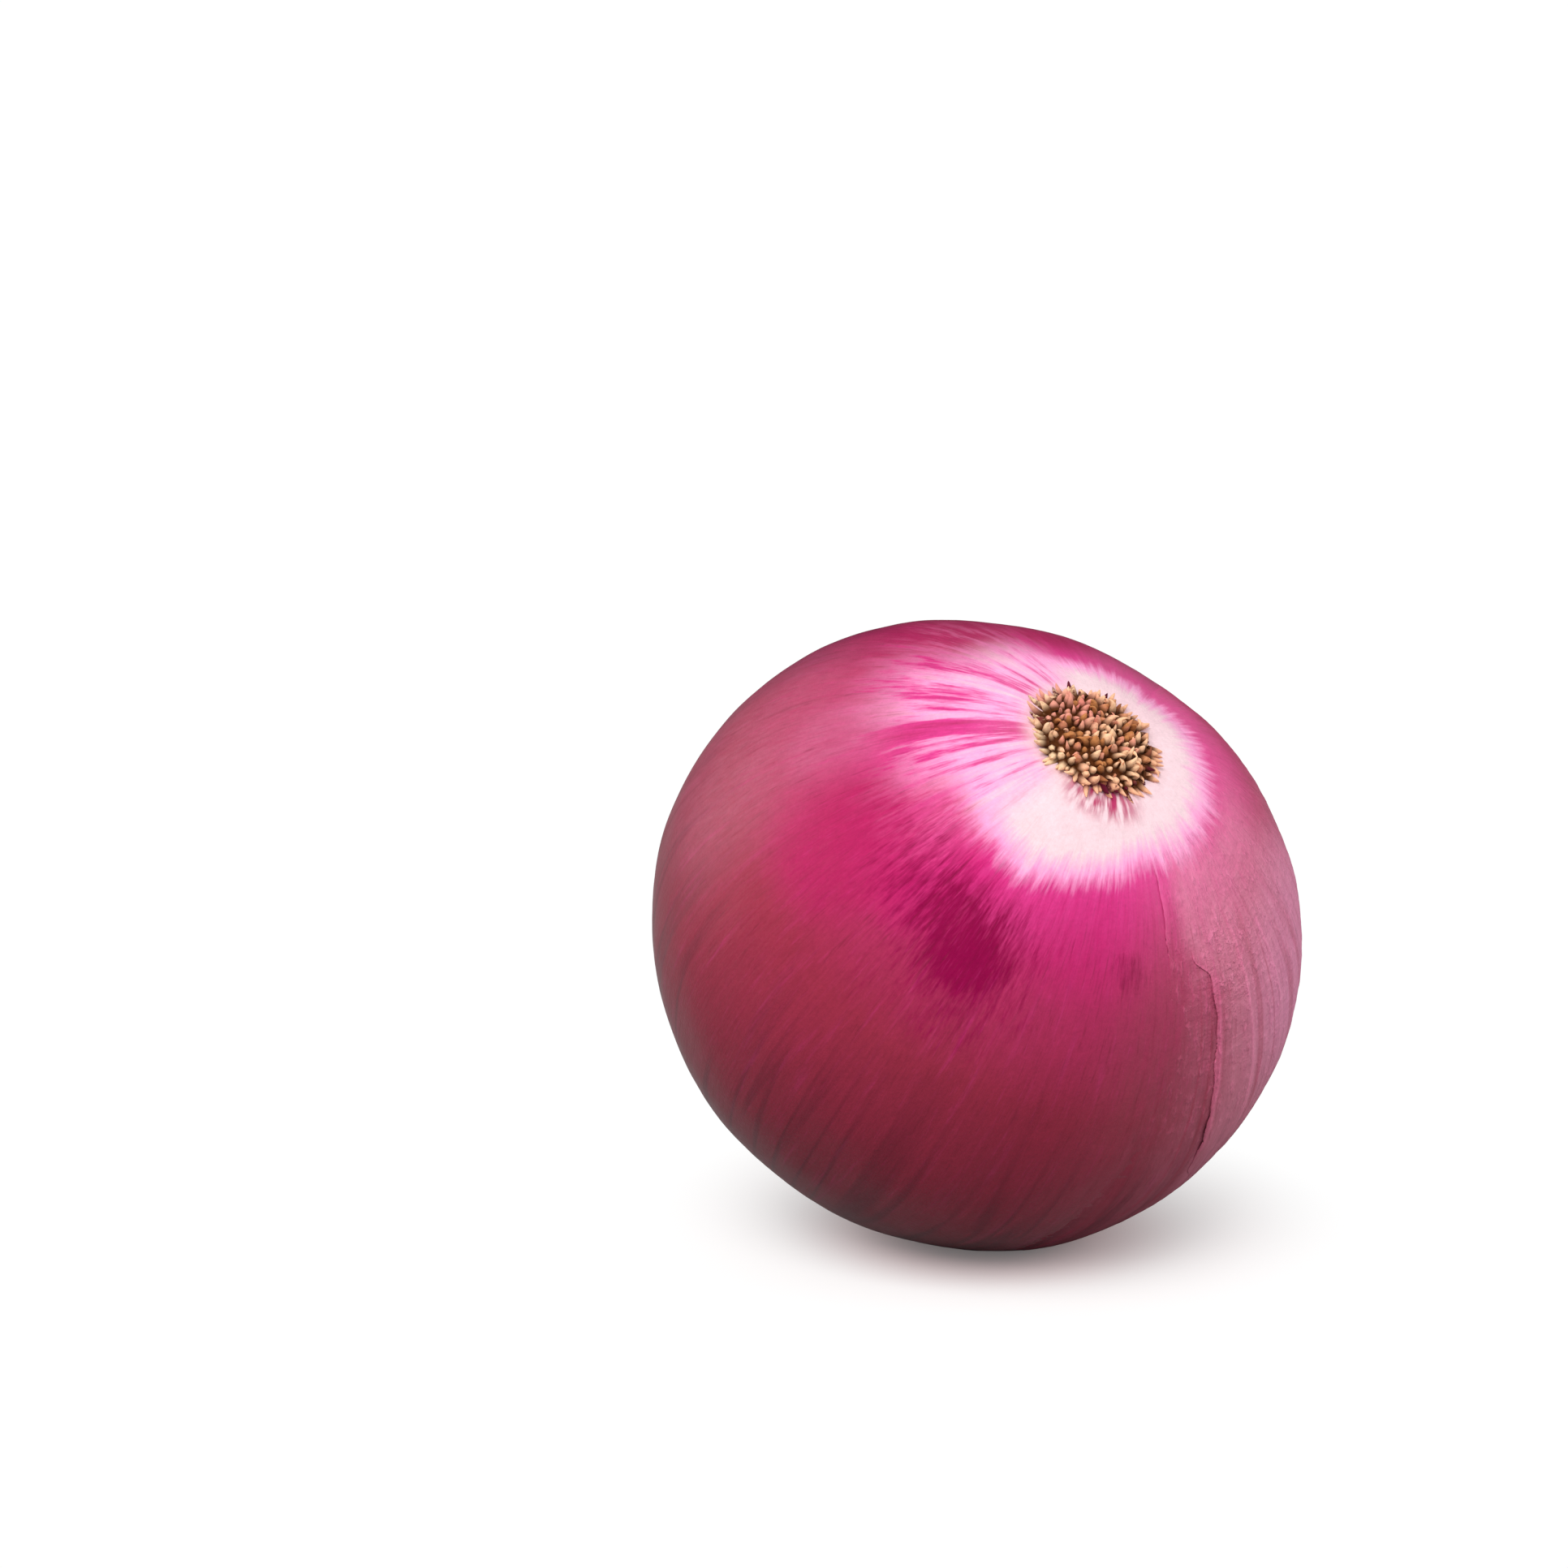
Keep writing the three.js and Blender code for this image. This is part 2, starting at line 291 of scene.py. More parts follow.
class Graph:
    """A node tree that is being built."""

    def __init__(self, tree):
        self.tree = tree
        self.group_input = None

    def node(self, kind, settings=None, inputs=None, output=0):
        """Adds a node, its settings first and then its inputs' values or links, and returns one output."""
        made = self.tree.nodes.new(kind)
        for name, value in (settings or {}).items():
            setattr(made, name, value)
        for key, value in (inputs or {}).items():
            self.feed(socket_named(made.inputs, key), value)
        return Term(self, socket_named(made.outputs, output))

    def feed(self, socket, value):
        """Links a term, or several, to an input, or sets the input's value."""
        if isinstance(value, Term):
            self.tree.links.new(value.socket, socket)
        elif isinstance(value, list):
            for term in value:
                self.tree.links.new(term.socket, socket)
        elif socket.type == "RGBA" and len(value) == 3:
            socket.default_value = (*value, 1)
        else:
            socket.default_value = value

    def math(self, operation, *values):
        return self.node("ShaderNodeMath", {"operation": operation}, dict(enumerate(values)))

    def vector(self, x=0.0, y=0.0, z=0.0):
        return self.node("ShaderNodeCombineXYZ", {}, {"X": x, "Y": y, "Z": z})

    def vector_math(self, operation, *values, output=0):
        return self.node("ShaderNodeVectorMath", {"operation": operation}, dict(enumerate(values)), output)

    def mix(self, amount, first, second, blend="MIX"):
        """Blends two colours."""
        return self.node(
            "ShaderNodeMix", {"data_type": "RGBA", "blend_type": blend},
            {"Factor_Float": amount, "A_Color": first, "B_Color": second}, "Result_Color",
        )

    def ramp(self, value, *stops):
        """The colour at a value between stops, each a place and a colour."""
        shade = self.node("ShaderNodeValToRGB", {}, {0: value})
        elements = shade.socket.node.color_ramp.elements
        while len(elements) < len(stops):
            elements.new(1)
        for element, (place, stop) in zip(elements, stops):
            element.position = place
            element.color = (*stop, 1)
        return shade

    def noise(self, place, scale, detail=2.0, roughness=0.5):
        """Noise that swings round 0, mostly between -1 and 1."""
        swing = self.node(
            "ShaderNodeTexNoise", {},
            {"Vector": place, "Scale": scale, "Detail": detail, "Roughness": roughness},
        )
        return (swing - 0.5) * 3.2

    def held(self, name, output="Fac"):
        """What the mesh holds under an attribute's name."""
        return self.node("ShaderNodeAttribute", {"attribute_name": name}, {}, output)

    def store(self, geometry, name, value):
        """The geometry with a value held for each point under a name."""
        return self.node(
            "GeometryNodeStoreNamedAttribute", {"data_type": "FLOAT", "domain": "POINT"},
            {"Geometry": geometry, "Name": name, "Value": value},
        )

    def random(self, low, high, seed):
        return self.node(
            "FunctionNodeRandomValue", {"data_type": "FLOAT"},
            {"Min_001": low, "Max_001": high, "Seed": seed}, 1,
        )

    def move(self, geometry, place):
        return self.node("GeometryNodeSetPosition", {}, {"Geometry": geometry, "Position": place})

    def input(self, name, kind, value):
        """A named input of a Geometry Nodes tree, with its default."""
        socket = self.tree.interface.new_socket(name, in_out="INPUT", socket_type=f"NodeSocket{kind}")
        socket.default_value = value
        if self.group_input is None:
            self.group_input = self.tree.nodes.new("NodeGroupInput")
        return Term(self, socket_named(self.group_input.outputs, name))

    def inputs(self, settings, *names):
        """Named inputs for these sizes of a property group, each with the size's own label."""
        labels = settings.bl_rna.properties
        return [self.input(labels[name].name, "Float", getattr(settings, name)) for name in names]


# ---- The bulb's surface ----------------------------------------------------------------------------------


def outward(down, around):
    """The direction at an angle from the root end and a turn round the axis, in the bulb's own frame."""
    return Vector((math.sin(down) * math.cos(around), math.sin(down) * math.sin(around), math.cos(down)))


def bulb_centre(bulb):
    """The middle of the leaning bulb's widest ring, over the flat spot that it rests on."""
    resting = bulb.equator * (1 + lobe(-math.pi / 2))
    height = math.hypot(bulb.neck_height * math.cos(bulb.lean), resting * math.sin(bulb.lean))
    slope = (bulb.neck_height**2 - resting**2) * math.sin(bulb.lean) * math.cos(bulb.lean) / height
    return Vector((0, -slope, height - bulb.flat))


def bulb_matrix(bulb):
    """From the bulb's own frame, root end at +Z, to where it lies."""
    return Matrix.Translation(bulb_centre(bulb)) @ Matrix.Rotation(bulb.lean, 4, "X")


def neck_end(bulb):
    """Angle from the root end, and height along the axis, where the bulb ends and the neck starts."""
    round_part = bulb.neck_height * math.sqrt(1 - (bulb.neck_radius / bulb.equator) ** 2)
    drawn_part = bulb.neck_draw * (1 - bulb.neck_radius / bulb.shoulder_radius) ** NECK_DRAW_POWER
    return math.pi - math.asin(bulb.neck_radius / bulb.equator), -round_part - drawn_part


def spoke_place(graph, spoke_x, spoke_y, along, spokes):
    """A place for noise whose grain runs along the veins: this many cells round the bulb per radian."""
    return graph.vector(spoke_x * spokes, spoke_y * spokes, along)


def new_shape(name):
    """A Geometry Nodes tree that gives out one geometry."""
    graph = Graph(bpy.data.node_groups.new(name, "GeometryNodeTree"))
    graph.tree.interface.new_socket("Geometry", in_out="OUTPUT", socket_type="NodeSocketGeometry")
    return graph


def laid_down(graph, place, lean, centre):
    """Where a place of the upright bulb comes to lie."""
    leaning = graph.node(
        "ShaderNodeVectorRotate", {"rotation_type": "X_AXIS"}, {"Vector": place, "Angle": lean}
    )
    return graph.vector_math("ADD", leaning, centre)


def bulb_tree(bulb, material):
    """Geometry Nodes that turn a sphere into the leaning bulb."""
    graph = new_shape("Onion bulb")
    segments = graph.input("Segments", "Int", 380)
    rings = graph.input("Rings", "Int", 240)
    equator, root_height, neck_height, lean = graph.inputs(
        bulb, "equator", "root_height", "neck_height", "lean"
    )
    dimple_radius, dimple_depth, shoulder_radius, neck_draw = graph.inputs(
        bulb, "dimple_radius", "dimple_depth", "shoulder_radius", "neck_draw"
    )
    dents, veins, puckers, flatness = graph.inputs(bulb, "dents", "veins", "puckers", "flatness")
    centre = graph.input("Centre", "Vector", bulb_centre(bulb))

    sphere = graph.node(
        "GeometryNodeMeshUVSphere", {}, {"Segments": segments, "Rings": rings, "Radius": 1.0}
    )
    x = graph.node("ShaderNodeSeparateXYZ", {}, {0: graph.node("GeometryNodeInputPosition")}, "X")
    y = x.sibling("Y")
    z = x.sibling("Z")
    neck_angle, _ = neck_end(bulb)
    down = z.at_most(1).at_least(-1).math("ARCCOSINE") * (neck_angle / math.pi)
    around = y.math("ARCTAN2", x)
    spoke_x = around.math("COSINE")
    spoke_y = around.math("SINE")
    sine = down.math("SINE")
    cosine = down.math("COSINE")

    radius = equator * sine
    root_side = cosine.math("GREATER_THAN", 0.0)
    in_dimple = (radius / dimple_radius).at_most(1)
    dimple = dimple_depth * (in_dimple * (math.pi / 2)).math("COSINE") ** 2 * root_side
    in_shoulder = (radius / shoulder_radius).at_most(1)
    drawn = neck_draw * (1 - in_shoulder) ** NECK_DRAW_POWER * (1 - root_side)
    round_height = (root_height * root_side + neck_height * (1 - root_side)) * cosine
    height = round_height - dimple - drawn
    swell = sum(share * (around * waves + turn).math("COSINE") for waves, share, turn in LOBES)
    swollen = radius * (1 + swell * sine)

    direction = graph.vector(spoke_x * sine, spoke_y * sine, cosine)
    dent = graph.noise(direction, 2.1, 1.5) * dents * sine
    vein_place = spoke_place(graph, spoke_x, spoke_y, down * 0.8, 11)
    vein = graph.noise(vein_place, 1.0, 3.0, 0.55) * veins * sine
    pucker_place = spoke_place(graph, spoke_x, spoke_y, down * 0.9, 3.6)
    pucker = graph.noise(pucker_place, 1.0, 2.0) * puckers * down.rise(*PUCKERED)
    towards = graph.vector_math("DOT_PRODUCT", direction, outward(*FLATTER_PLACE), output="Value")
    flat = towards.rise(math.cos(FLATTER_REACH), 1.0) * flatness
    outside = dent + vein + pucker - flat

    reach = swollen + outside * sine
    shape = graph.vector(spoke_x * reach, spoke_y * reach, height + outside * cosine)
    lying = laid_down(graph, shape, lean, centre)
    on_table = graph.vector_math("MAXIMUM", lying, (-1.0, -1.0, 0.0))
    finish_tree(graph, graph.move(sphere, on_table), material)
    return graph.tree


def finish_tree(graph, geometry, material):
    """Ends a Geometry Nodes tree: shaded smooth, instances made real, material set, result sent out."""
    smooth = graph.node("GeometryNodeSetShadeSmooth", {}, {"Geometry": geometry, "Shade Smooth": True})
    real = graph.node("GeometryNodeRealizeInstances", {}, {"Geometry": smooth})
    painted = graph.node("GeometryNodeSetMaterial", {}, {"Geometry": real, "Material": material})
    out = graph.tree.nodes.new("NodeGroupOutput")
    graph.tree.links.new(painted.socket, out.inputs[0])


def grow(name, tree):
    """Runs a Geometry Nodes tree and keeps its result as a plain mesh object at the origin."""
    grown = bpy.data.objects.new(name, bpy.data.meshes.new(name + "_seed"))
    bpy.context.scene.collection.objects.link(grown)
    modifier = grown.modifiers.new("Shape", "NODES")
    modifier.node_group = tree
    depsgraph = bpy.context.evaluated_depsgraph_get()
    mesh = bpy.data.meshes.new_from_object(
        grown.evaluated_get(depsgraph), preserve_all_data_layers=True, depsgraph=depsgraph
    )
    grown.modifiers.remove(modifier)
    grown.data = mesh
    mesh.name = name
    if not mesh.polygons:
        raise RuntimeError(f"{name} came out empty")
    return grown


def mesh_object(name, points, faces, material):
    """A smooth mesh object at the origin."""
    mesh = bpy.data.meshes.new(name)
    mesh.from_pydata(points, [], faces)
    mesh.polygons.foreach_set("use_smooth", [True] * len(faces))
    mesh.materials.append(material)
    mesh.update()
    made = bpy.data.objects.new(name, mesh)
    bpy.context.scene.collection.objects.link(made)
    return made


def settle(piece, slot, *nodes):
    """Puts a finished piece on the root body and hides the CAD nodes that it stands for."""
    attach(piece, "root")
    if nodes:
        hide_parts(*nodes)


# ---- Materials -------------------------------------------------------------------------------------------


class Lie:
    """Where a shaded point is on the bulb: its angle from the root end in degrees, and its spoke round it."""

    def __init__(self, graph, bulb):
        turned = graph.node(
            "ShaderNodeMapping", {"vector_type": "TEXTURE"},
            {
                "Vector": graph.node("ShaderNodeTexCoord", {}, {}, "Object"),
                "Location": bulb_centre(bulb),
                "Rotation": (bulb.lean, 0, 0),
                "Scale": (bulb.equator, bulb.equator, bulb.root_height),
            },
        )
        x = graph.node("ShaderNodeSeparateXYZ", {}, {0: turned}, "X")
        y = x.sibling("Y")
        z = x.sibling("Z")
        off_axis = (x * x + y * y).math("SQRT").at_least(1e-5)
        self.graph = graph
        self.place = turned
        self.down = off_axis.math("ARCTAN2", z) * (180 / math.pi)
        self.spoke_x = x / off_axis
        self.spoke_y = y / off_axis

    def streaks(self, spokes, stretch, detail=2.0, roughness=0.5, seed=0.0):
        """Streaks along the veins, round 0: spokes sets how narrow they are and stretch how short."""
        along = self.down * (stretch / CELL_LENGTH) + seed
        place = spoke_place(self.graph, self.spoke_x, self.spoke_y, along, spokes)
        return self.graph.noise(place, 1.0, detail, roughness)

    def facing(self, around):
        """1 on the spoke at a longitude in degrees, -1 on the far side."""
        turn = math.radians(around)
        return self.spoke_x * math.cos(turn) + self.spoke_y * math.sin(turn)

    def past(self, around):
        """Sine of the angle past the meridian at a longitude in degrees."""
        turn = math.radians(around)
        return self.spoke_y * math.cos(turn) - self.spoke_x * math.sin(turn)

    def near(self, down, around, reach):
        """1 at a point of the bulb, fading to 0 at a reach from it, all in degrees."""
        spot = outward(math.radians(down), math.radians(around))
        here = self.graph.vector_math("NORMALIZE", self.place)
        towards = self.graph.vector_math("DOT_PRODUCT", here, spot, output="Value")
        return towards.rise(math.cos(math.radians(reach)), 1.0)


def new_material(name):
    """An empty node material, its graph and its surface shader."""
    material = bpy.data.materials.new(name)
    material.use_nodes = True
    return material, Graph(material.node_tree), material.node_tree.nodes["Principled BSDF"]


def finish_shader(graph, shader, base, roughness, height, bump_depth, fixed):
    """Feeds what varies to the shader, with a bump of a depth in metres, and sets what doesn't vary."""
    graph.feed(shader.inputs["Base Color"], base)
    graph.feed(shader.inputs["Roughness"], roughness)
    bump = graph.node("ShaderNodeBump", {}, {"Strength": 1.0, "Distance": bump_depth, "Height": height})
    graph.feed(shader.inputs["Normal"], bump)
    for name, value in fixed.items():
        graph.feed(shader.inputs[name], value)


class SkinColour:
    """The fresh skin's colour: each method lays one kind of mark over a base. Places are in degrees."""

    def __init__(self, lie, bulb):
        self.lie = lie
        self.bulb = bulb
        self.mix = lie.graph.mix
        self.broad = lie.streaks(4, 1.5, 2.0, seed=3)
        self.bars = lie.streaks(11, 2.4, 1.0, seed=51)
        self.middle = lie.streaks(24, 6.0, 2.0, 0.6, seed=8)
        self.fine = lie.streaks(75, 16.0, 2.0, 0.7, seed=14)
        self.ripeness = self.angle_as_ripened()

    def varied(self, level, middle, fine):
        """A level that the middle and fine streaks raise and lower."""
        return level + middle * self.middle + fine * self.fine

    def angle_as_ripened(self):
        """Angle from the root end, shifted so that the pale halo ends at the same value all round."""
        facing = self.lie.facing
        halo_edge = 19.3 + 2 * facing(60).rise(-0.2, 0.8) + 2.7 * facing(-112).rise(0.4, 0.9)
        halo_edge += 9.3 * facing(-155).at_least(0) ** 4
        near_roots = self.lie.down.rise(62, 34)
        bands = 0.5 * self.broad + 0.5 * self.bars + 0.7 * self.middle + 0.5 * self.fine
        return self.lie.down + (HALO_END - halo_edge) * near_roots + bands * (1.2 + 1.3 * near_roots)

    def ripened(self):
        """White round the roots, then hot pink, magenta and crimson, and maroon at the neck."""
        bulb = self.bulb
        stops = (
            (0, bulb.halo), (24, bulb.halo), (HALO_END, bulb.blush), (32, bulb.hot),
            (46, bulb.magenta), (70, bulb.crimson), (121, bulb.maroon), (180, bulb.maroon),
        )
        return self.lie.graph.ramp(self.ripeness / 180, *((down / 180, shade) for down, shade in stops))

    def streaked(self, base):
        """On one side the halo runs out into alternating pale and dark pink streaks."""
        lie = self.lie
        tone = 0.9 * self.bars + 0.6 * self.middle + 0.4 * self.fine + 0.3 * self.broad
        dark_spoke = lie.facing(-201).rise(0.975, 1.0)
        paleness = 0.6 + 0.32 * tone - 0.25 * dark_spoke - 0.08 * lie.near(37, -222, 16)
        streaks = lie.graph.ramp(
            paleness,
            (0.0, self.bulb.magenta), (0.35, self.bulb.hot), (0.55, self.bulb.blush), (1.0, self.bulb.halo),
        )
        run_out = (lie.down + 5 * self.bars + 3 * self.middle + 2 * self.fine).rise(50, 29)
        covered = run_out * lie.down.rise(12, 17) * lie.facing(-222).rise(0.38, 0.7)
        return self.mix(covered * 0.92, base, streaks)

    def stained(self, base):
        """Dark dashes where the front roots start."""
        dashes = self.lie.streaks(13, 9.0, 2.0, 0.6, seed=77)
        stain = self.lie.near(13.5, -125, 9) * dashes.rise(-0.5, 0.4)
        return self.mix(stain * (self.lie.down + 2 * dashes).rise(19, 15), base, self.bulb.magenta)

    def glowing(self, base):
        """Saturated places, a faint milky painted sheen and dusky places below the halo."""
        near = self.lie.near
        hot_spots = near(35, -122, 18) * 0.45 + near(40, -168, 18) * 0.95
        hot_cover = (hot_spots * self.varied(1.1, 0.4, 0.3)).clipped()
        hot = self.mix(hot_cover * 0.8 * self.ripeness.rise(28, 35), base, self.bulb.glow)
        # Painted sheen: a faint milky patch of reflected light, painted in blush.
        milky = self.mix(near(47, -208, 13) * self.varied(0.1, 0.04, 0.04), hot, self.bulb.blush)
        dusky = (near(52, -184, 18) * self.varied(1, 0.4, 0.3)).clipped()
        return self.mix(dusky * 0.8, milky, self.bulb.dusk)

    def deepened(self, base):
        """The deep crimson patch with its trail and a small smudge beside it, frayed along the veins."""
        near = self.lie.near
        patch = 0.75 * near(47.5, -148, 15) + 0.6 * near(50, -145, 8)
        trail = 0.35 * near(57, -140, 13) + 0.4 * near(43, -163, 13)
        smudge = 0.5 * near(42, -108, 4.5) + 0.5 * near(45, -104, 4.5)
        spots = patch + trail + smudge + 0.3 * near(46, -154, 32)
        frayed = (self.varied(spots, 0.6, 0.75) - 0.15) * (spots * 3).at_most(1)
        return self.mix(frayed.rise(-0.1, 1.6) * self.ripeness.rise(31, 40), base, self.bulb.deep)

    def aged(self, base):
        """Creases on the far side, a painted sheen on the shaded side, and brownish, dusty skin on the dry
        side.
        """
        lie = self.lie
        bulb = self.bulb
        far_side = lie.facing(-274).rise(0.7, 0.95) * lie.down.rise(22, 36)
        creases = far_side * self.varied(0.85 + 0.4 * self.bars, 0.35, 0.25).clipped()
        far_shade = self.mix(lie.down.rise(62, 34), bulb.crease, bulb.dusk)
        creased = self.mix(creases * 0.95, base, far_shade)
        # Painted sheen: milky patches where a soft light's reflection is painted into the colour.
        painted_sheen_spots = (lie.near(68, -222, 34) + lie.near(27, 30, 18)) * self.varied(0.2, 0.04, 0.08)
        sheened = self.mix(painted_sheen_spots, creased, bulb.wax)
        browned = lie.facing(-30).rise(0.05, 0.5) * lie.down.rise(28, 56) * lie.facing(-62).rise(-0.3, 0.5)
        dried = self.mix(browned * self.varied(0.5, 0.15, 0.15), sheened, bulb.dry)
        dusted = self.mix(dust_cover(lie), dried, bulb.dust)
        return self.mix(lie.near(62, -42, 30) * 0.38, dusted, bulb.blush)

    def finished(self):
        base = self.glowing(self.stained(self.streaked(self.ripened())))
        return self.aged(self.deepened(base))


def dust_cover(lie):
    """How dusty the dry side is: from nothing at its edges to about half."""
    wrinkles = lie.streaks(18, 6.0, 3.0, 0.6, seed=40)
    torn = lie.facing(-30) - 0.43 - 0.17 * lie.down.rise(36, 50)
    spilled = 0.2 * lie.facing(-30).rise(0.12, 0.45) * lie.down.rise(52, 36)
    left = 0.3 * lie.facing(-30).rise(0.43, 0.56) + 0.7 * torn.rise(0.0, 0.13) + spilled
    right = (lie.facing(-62) + 0.14 * wrinkles + 0.12 * lie.streaks(5, 3.0, seed=66)).rise(-0.1, 0.75)
    mottle = 0.42 + 0.09 * wrinkles + 0.05 * lie.streaks(70, 9.0, 2.0, seed=44)
    thin = 1 - 0.75 * lie.near(36, 2, 26)
    return left * right * lie.down.rise(19, 28) * lie.down.rise(135, 72) * mottle * thin


def veined_skin(lie, bulb):
    """The skin's colour with short fine threads and darker cracks along the veins, and a grain all over."""
    graph = lie.graph
    outside_halo = lie.down.rise(22, 38)
    wide = lie.streaks(30, 2.2, 3.0, 0.7, seed=61)
    tinted = graph.mix(wide.rise(0.1, 1.3) * outside_halo * 0.3, SkinColour(lie, bulb).finished(), bulb.hot)
    shaded = graph.mix(wide.rise(-0.1, -1.3) * outside_halo * 0.45, tinted, bulb.maroon)
    threads = lie.streaks(105, 13, 2.0, 0.7, seed=17).rise(0.1, 1.3) * outside_halo
    lighter = graph.mix(threads * (0.32 - 0.2 * lie.down.rise(48, 85)), shaded, bulb.hot)
    cracks = lie.streaks(85, 9, 2.0, 0.7, seed=21).rise(0.1, 1.1) * outside_halo
    cracked = graph.mix(cracks * 0.45, lighter, bulb.maroon)
    lines = (0.16 - abs(lie.streaks(9, 0.35, 1.0, seed=70))).rise(0.0, 0.15) * lie.down.rise(60, 120)
    darker = graph.mix(lines * 0.45, cracked, bulb.vein)
    scratches = (lie.streaks(42, 4.5, 2.0, 0.7, seed=73) - 0.3).at_least(0) * lie.facing(-80).rise(0.3, 0.9)
    scratched = graph.mix(scratches * lie.down.rise(80, 96) * 0.8, darker, bulb.crimson, "SCREEN")
    grain = 0.95 + 0.1 * graph.noise(lie.place, 80, 3.0, 0.8) + 0.05 * graph.noise(lie.place, 24, 2.0)
    return graph.mix(1.0, scratched, graph.vector(grain, grain, grain), "MULTIPLY")


def bulb_material(bulb):
    """Satin, fleshy skin with fine veins; its coat looks milky where it turns away, and its colour holds a
    painted sheen in places.
    """
    material, graph, shader = new_material("bulb_skin")
    lie = Lie(graph, bulb)
    veins = lie.streaks(60, 5.0, 3.0, 0.6, seed=30)
    cells = graph.noise(lie.place, 90, 2.0)
    height = 0.5 + 0.3 * veins + 0.2 * cells
    roughness = 0.44 + 0.05 * cells + 0.03 * veins
    turned_away = graph.node("ShaderNodeLayerWeight", {}, {"Blend": 0.5}, "Facing")
    graph.feed(shader.inputs["Coat Weight"], turned_away ** 2 * 0.8)
    fixed = {"Specular IOR Level": 0.14, "Coat Roughness": 0.42, "Coat IOR": 1.4}
    finish_shader(graph, shader, veined_skin(lie, bulb), roughness, height, 0.06 * MM, fixed)
    return material


# Ridges of the dry film, drawn as painted highlight lines and a bump: each one's longitude, slant, width, and
# where it starts and ends down the bulb.
PAPER_RIDGES = ((-81, -0.0006, 0.014, 44, 94), (-70.5, -0.0012, 0.021, 32, 96), (-58, -0.002, 0.016, 36, 80))


def papery_material(bulb, skin):
    """Dry, dusty film over the same colours, with fine waves across the veins, and painted highlights on its
    ridges, flecks and torn edges.
    """
    material, graph, shader = new_material("papery_skin")
    lie = Lie(graph, bulb)
    down = lie.down
    wrinkles = lie.streaks(20, 4.5, 3.0, 0.6, seed=40)
    veins = lie.streaks(60, 5.0, 2.0, seed=44)
    waves = lie.streaks(11, 24, 3.0, 0.7, seed=47) * lie.near(46, -58, 36)
    wobble = 0.012 * graph.noise(graph.vector(down * 0.16, 0.0, 0.0), 1.0, 3.0)
    ridges = sum(
        (1 - abs(lie.past(around) + wobble + slant * (down - 50)) / width).at_least(0)
        * down.rise(start, start + 8) * down.rise(end, end - 36)
        for around, slant, width, start, end in PAPER_RIDGES
    )
    over_edge = lie.facing(-30).rise(0.6, 0.7) * lie.facing(-62).rise(-0.2, 0.6)
    over = over_edge * down.rise(34, 50) * down.rise(105, 78)
    bloom = (over * (0.14 + 0.1 * wrinkles) + 0.22 * waves).clipped()
    dusted = graph.mix(bloom, veined_skin(lie, bulb), bulb.dust)
    lines = (0.14 - abs(lie.streaks(8, 0.5, 1.0, seed=81))).rise(0.0, 0.14) * down.rise(30, 60)
    lined = graph.mix(lines * (0.4 + 0.2 * wrinkles), dusted, bulb.crimson)
    pebbles = (graph.noise(lie.place, 52, 2.0, 0.6) - 0.02).at_least(0) * lie.near(44, -74, 11)
    flecks = (lie.streaks(38, 20, 2.0, 0.7, seed=49) - 0.05).at_least(0) * lie.near(50, -60, 48) + pebbles
    # Painted highlights: light lines along the ridges and bright flecks, screened on in the edge colour.
    painted_highlight = (ridges * (0.75 + 0.3 * wrinkles) + 0.9 * flecks).clipped()
    highlighted = graph.mix(painted_highlight, lined, skin.edge, "SCREEN")
    # Painted highlight along the torn edges, screened on in the edge colour.
    torn = graph.held("inward").rise(0.022, 0.0) * down.rise(22, 30) * down.rise(100, 60)
    base = graph.mix((torn * (0.55 + 0.3 * wrinkles)).at_least(0), highlighted, skin.edge, "SCREEN")
    height = 0.5 + 0.3 * wrinkles + 0.2 * veins + 0.8 * waves + 1.5 * flecks + 1.2 * ridges
    roughness = 0.6 + 0.05 * wrinkles
    finish_shader(graph, shader, base, roughness, height, 0.12 * MM, {"Specular IOR Level": 0.2})
    return material


def root_material(bulb, roots):
    """Dry root fibre: each root has its own tone, with painted shade at its foot and on the mat between the
    roots, a dark red painted shadow towards the front.
    """
    material, graph, shader = new_material("dry_root")
    lie = Lie(graph, bulb)
    grain = graph.noise(lie.place, 90, 2.0)
    tone = graph.held("tone") + 0.08 * grain
    old = graph.ramp(
        tone, (0.0, roots.rust), (0.25, roots.rust), (0.4, roots.rose), (0.6, roots.tan), (1.0, roots.tan)
    )
    fresh = graph.mix(lie.facing(-215).rise(0.2, 0.8), roots.peach, roots.straw)
    young = graph.mix(tone.rise(0.14, 0.22), roots.wine, fresh)
    aged = graph.mix(graph.held("rim"), old, young)
    far_side = (lie.near(10, 115, 9) * 1.5).at_most(1)
    body = graph.mix(far_side * tone.rise(0.3, 0.5) * 0.6, aged, roots.red)
    streaky = graph.mix(grain.rise(0.3, 1.3) * 0.35, body, roots.brown)
    # Painted shade: each root's foot and the mat between the roots are darkened, with a dark red painted
    # shadow at the tuft's front.
    front = (lie.near(15, -128, 7) * 1.5).at_most(1)
    foot = graph.mix(front, roots.brown, roots.wine)
    base = graph.mix(graph.held("along").rise(0.1, 0.6), foot, streaky)
    finish_shader(graph, shader, base, 0.85 + 0.05 * grain, grain, 0.04 * MM, {"Specular IOR Level": 0.3})
    return material


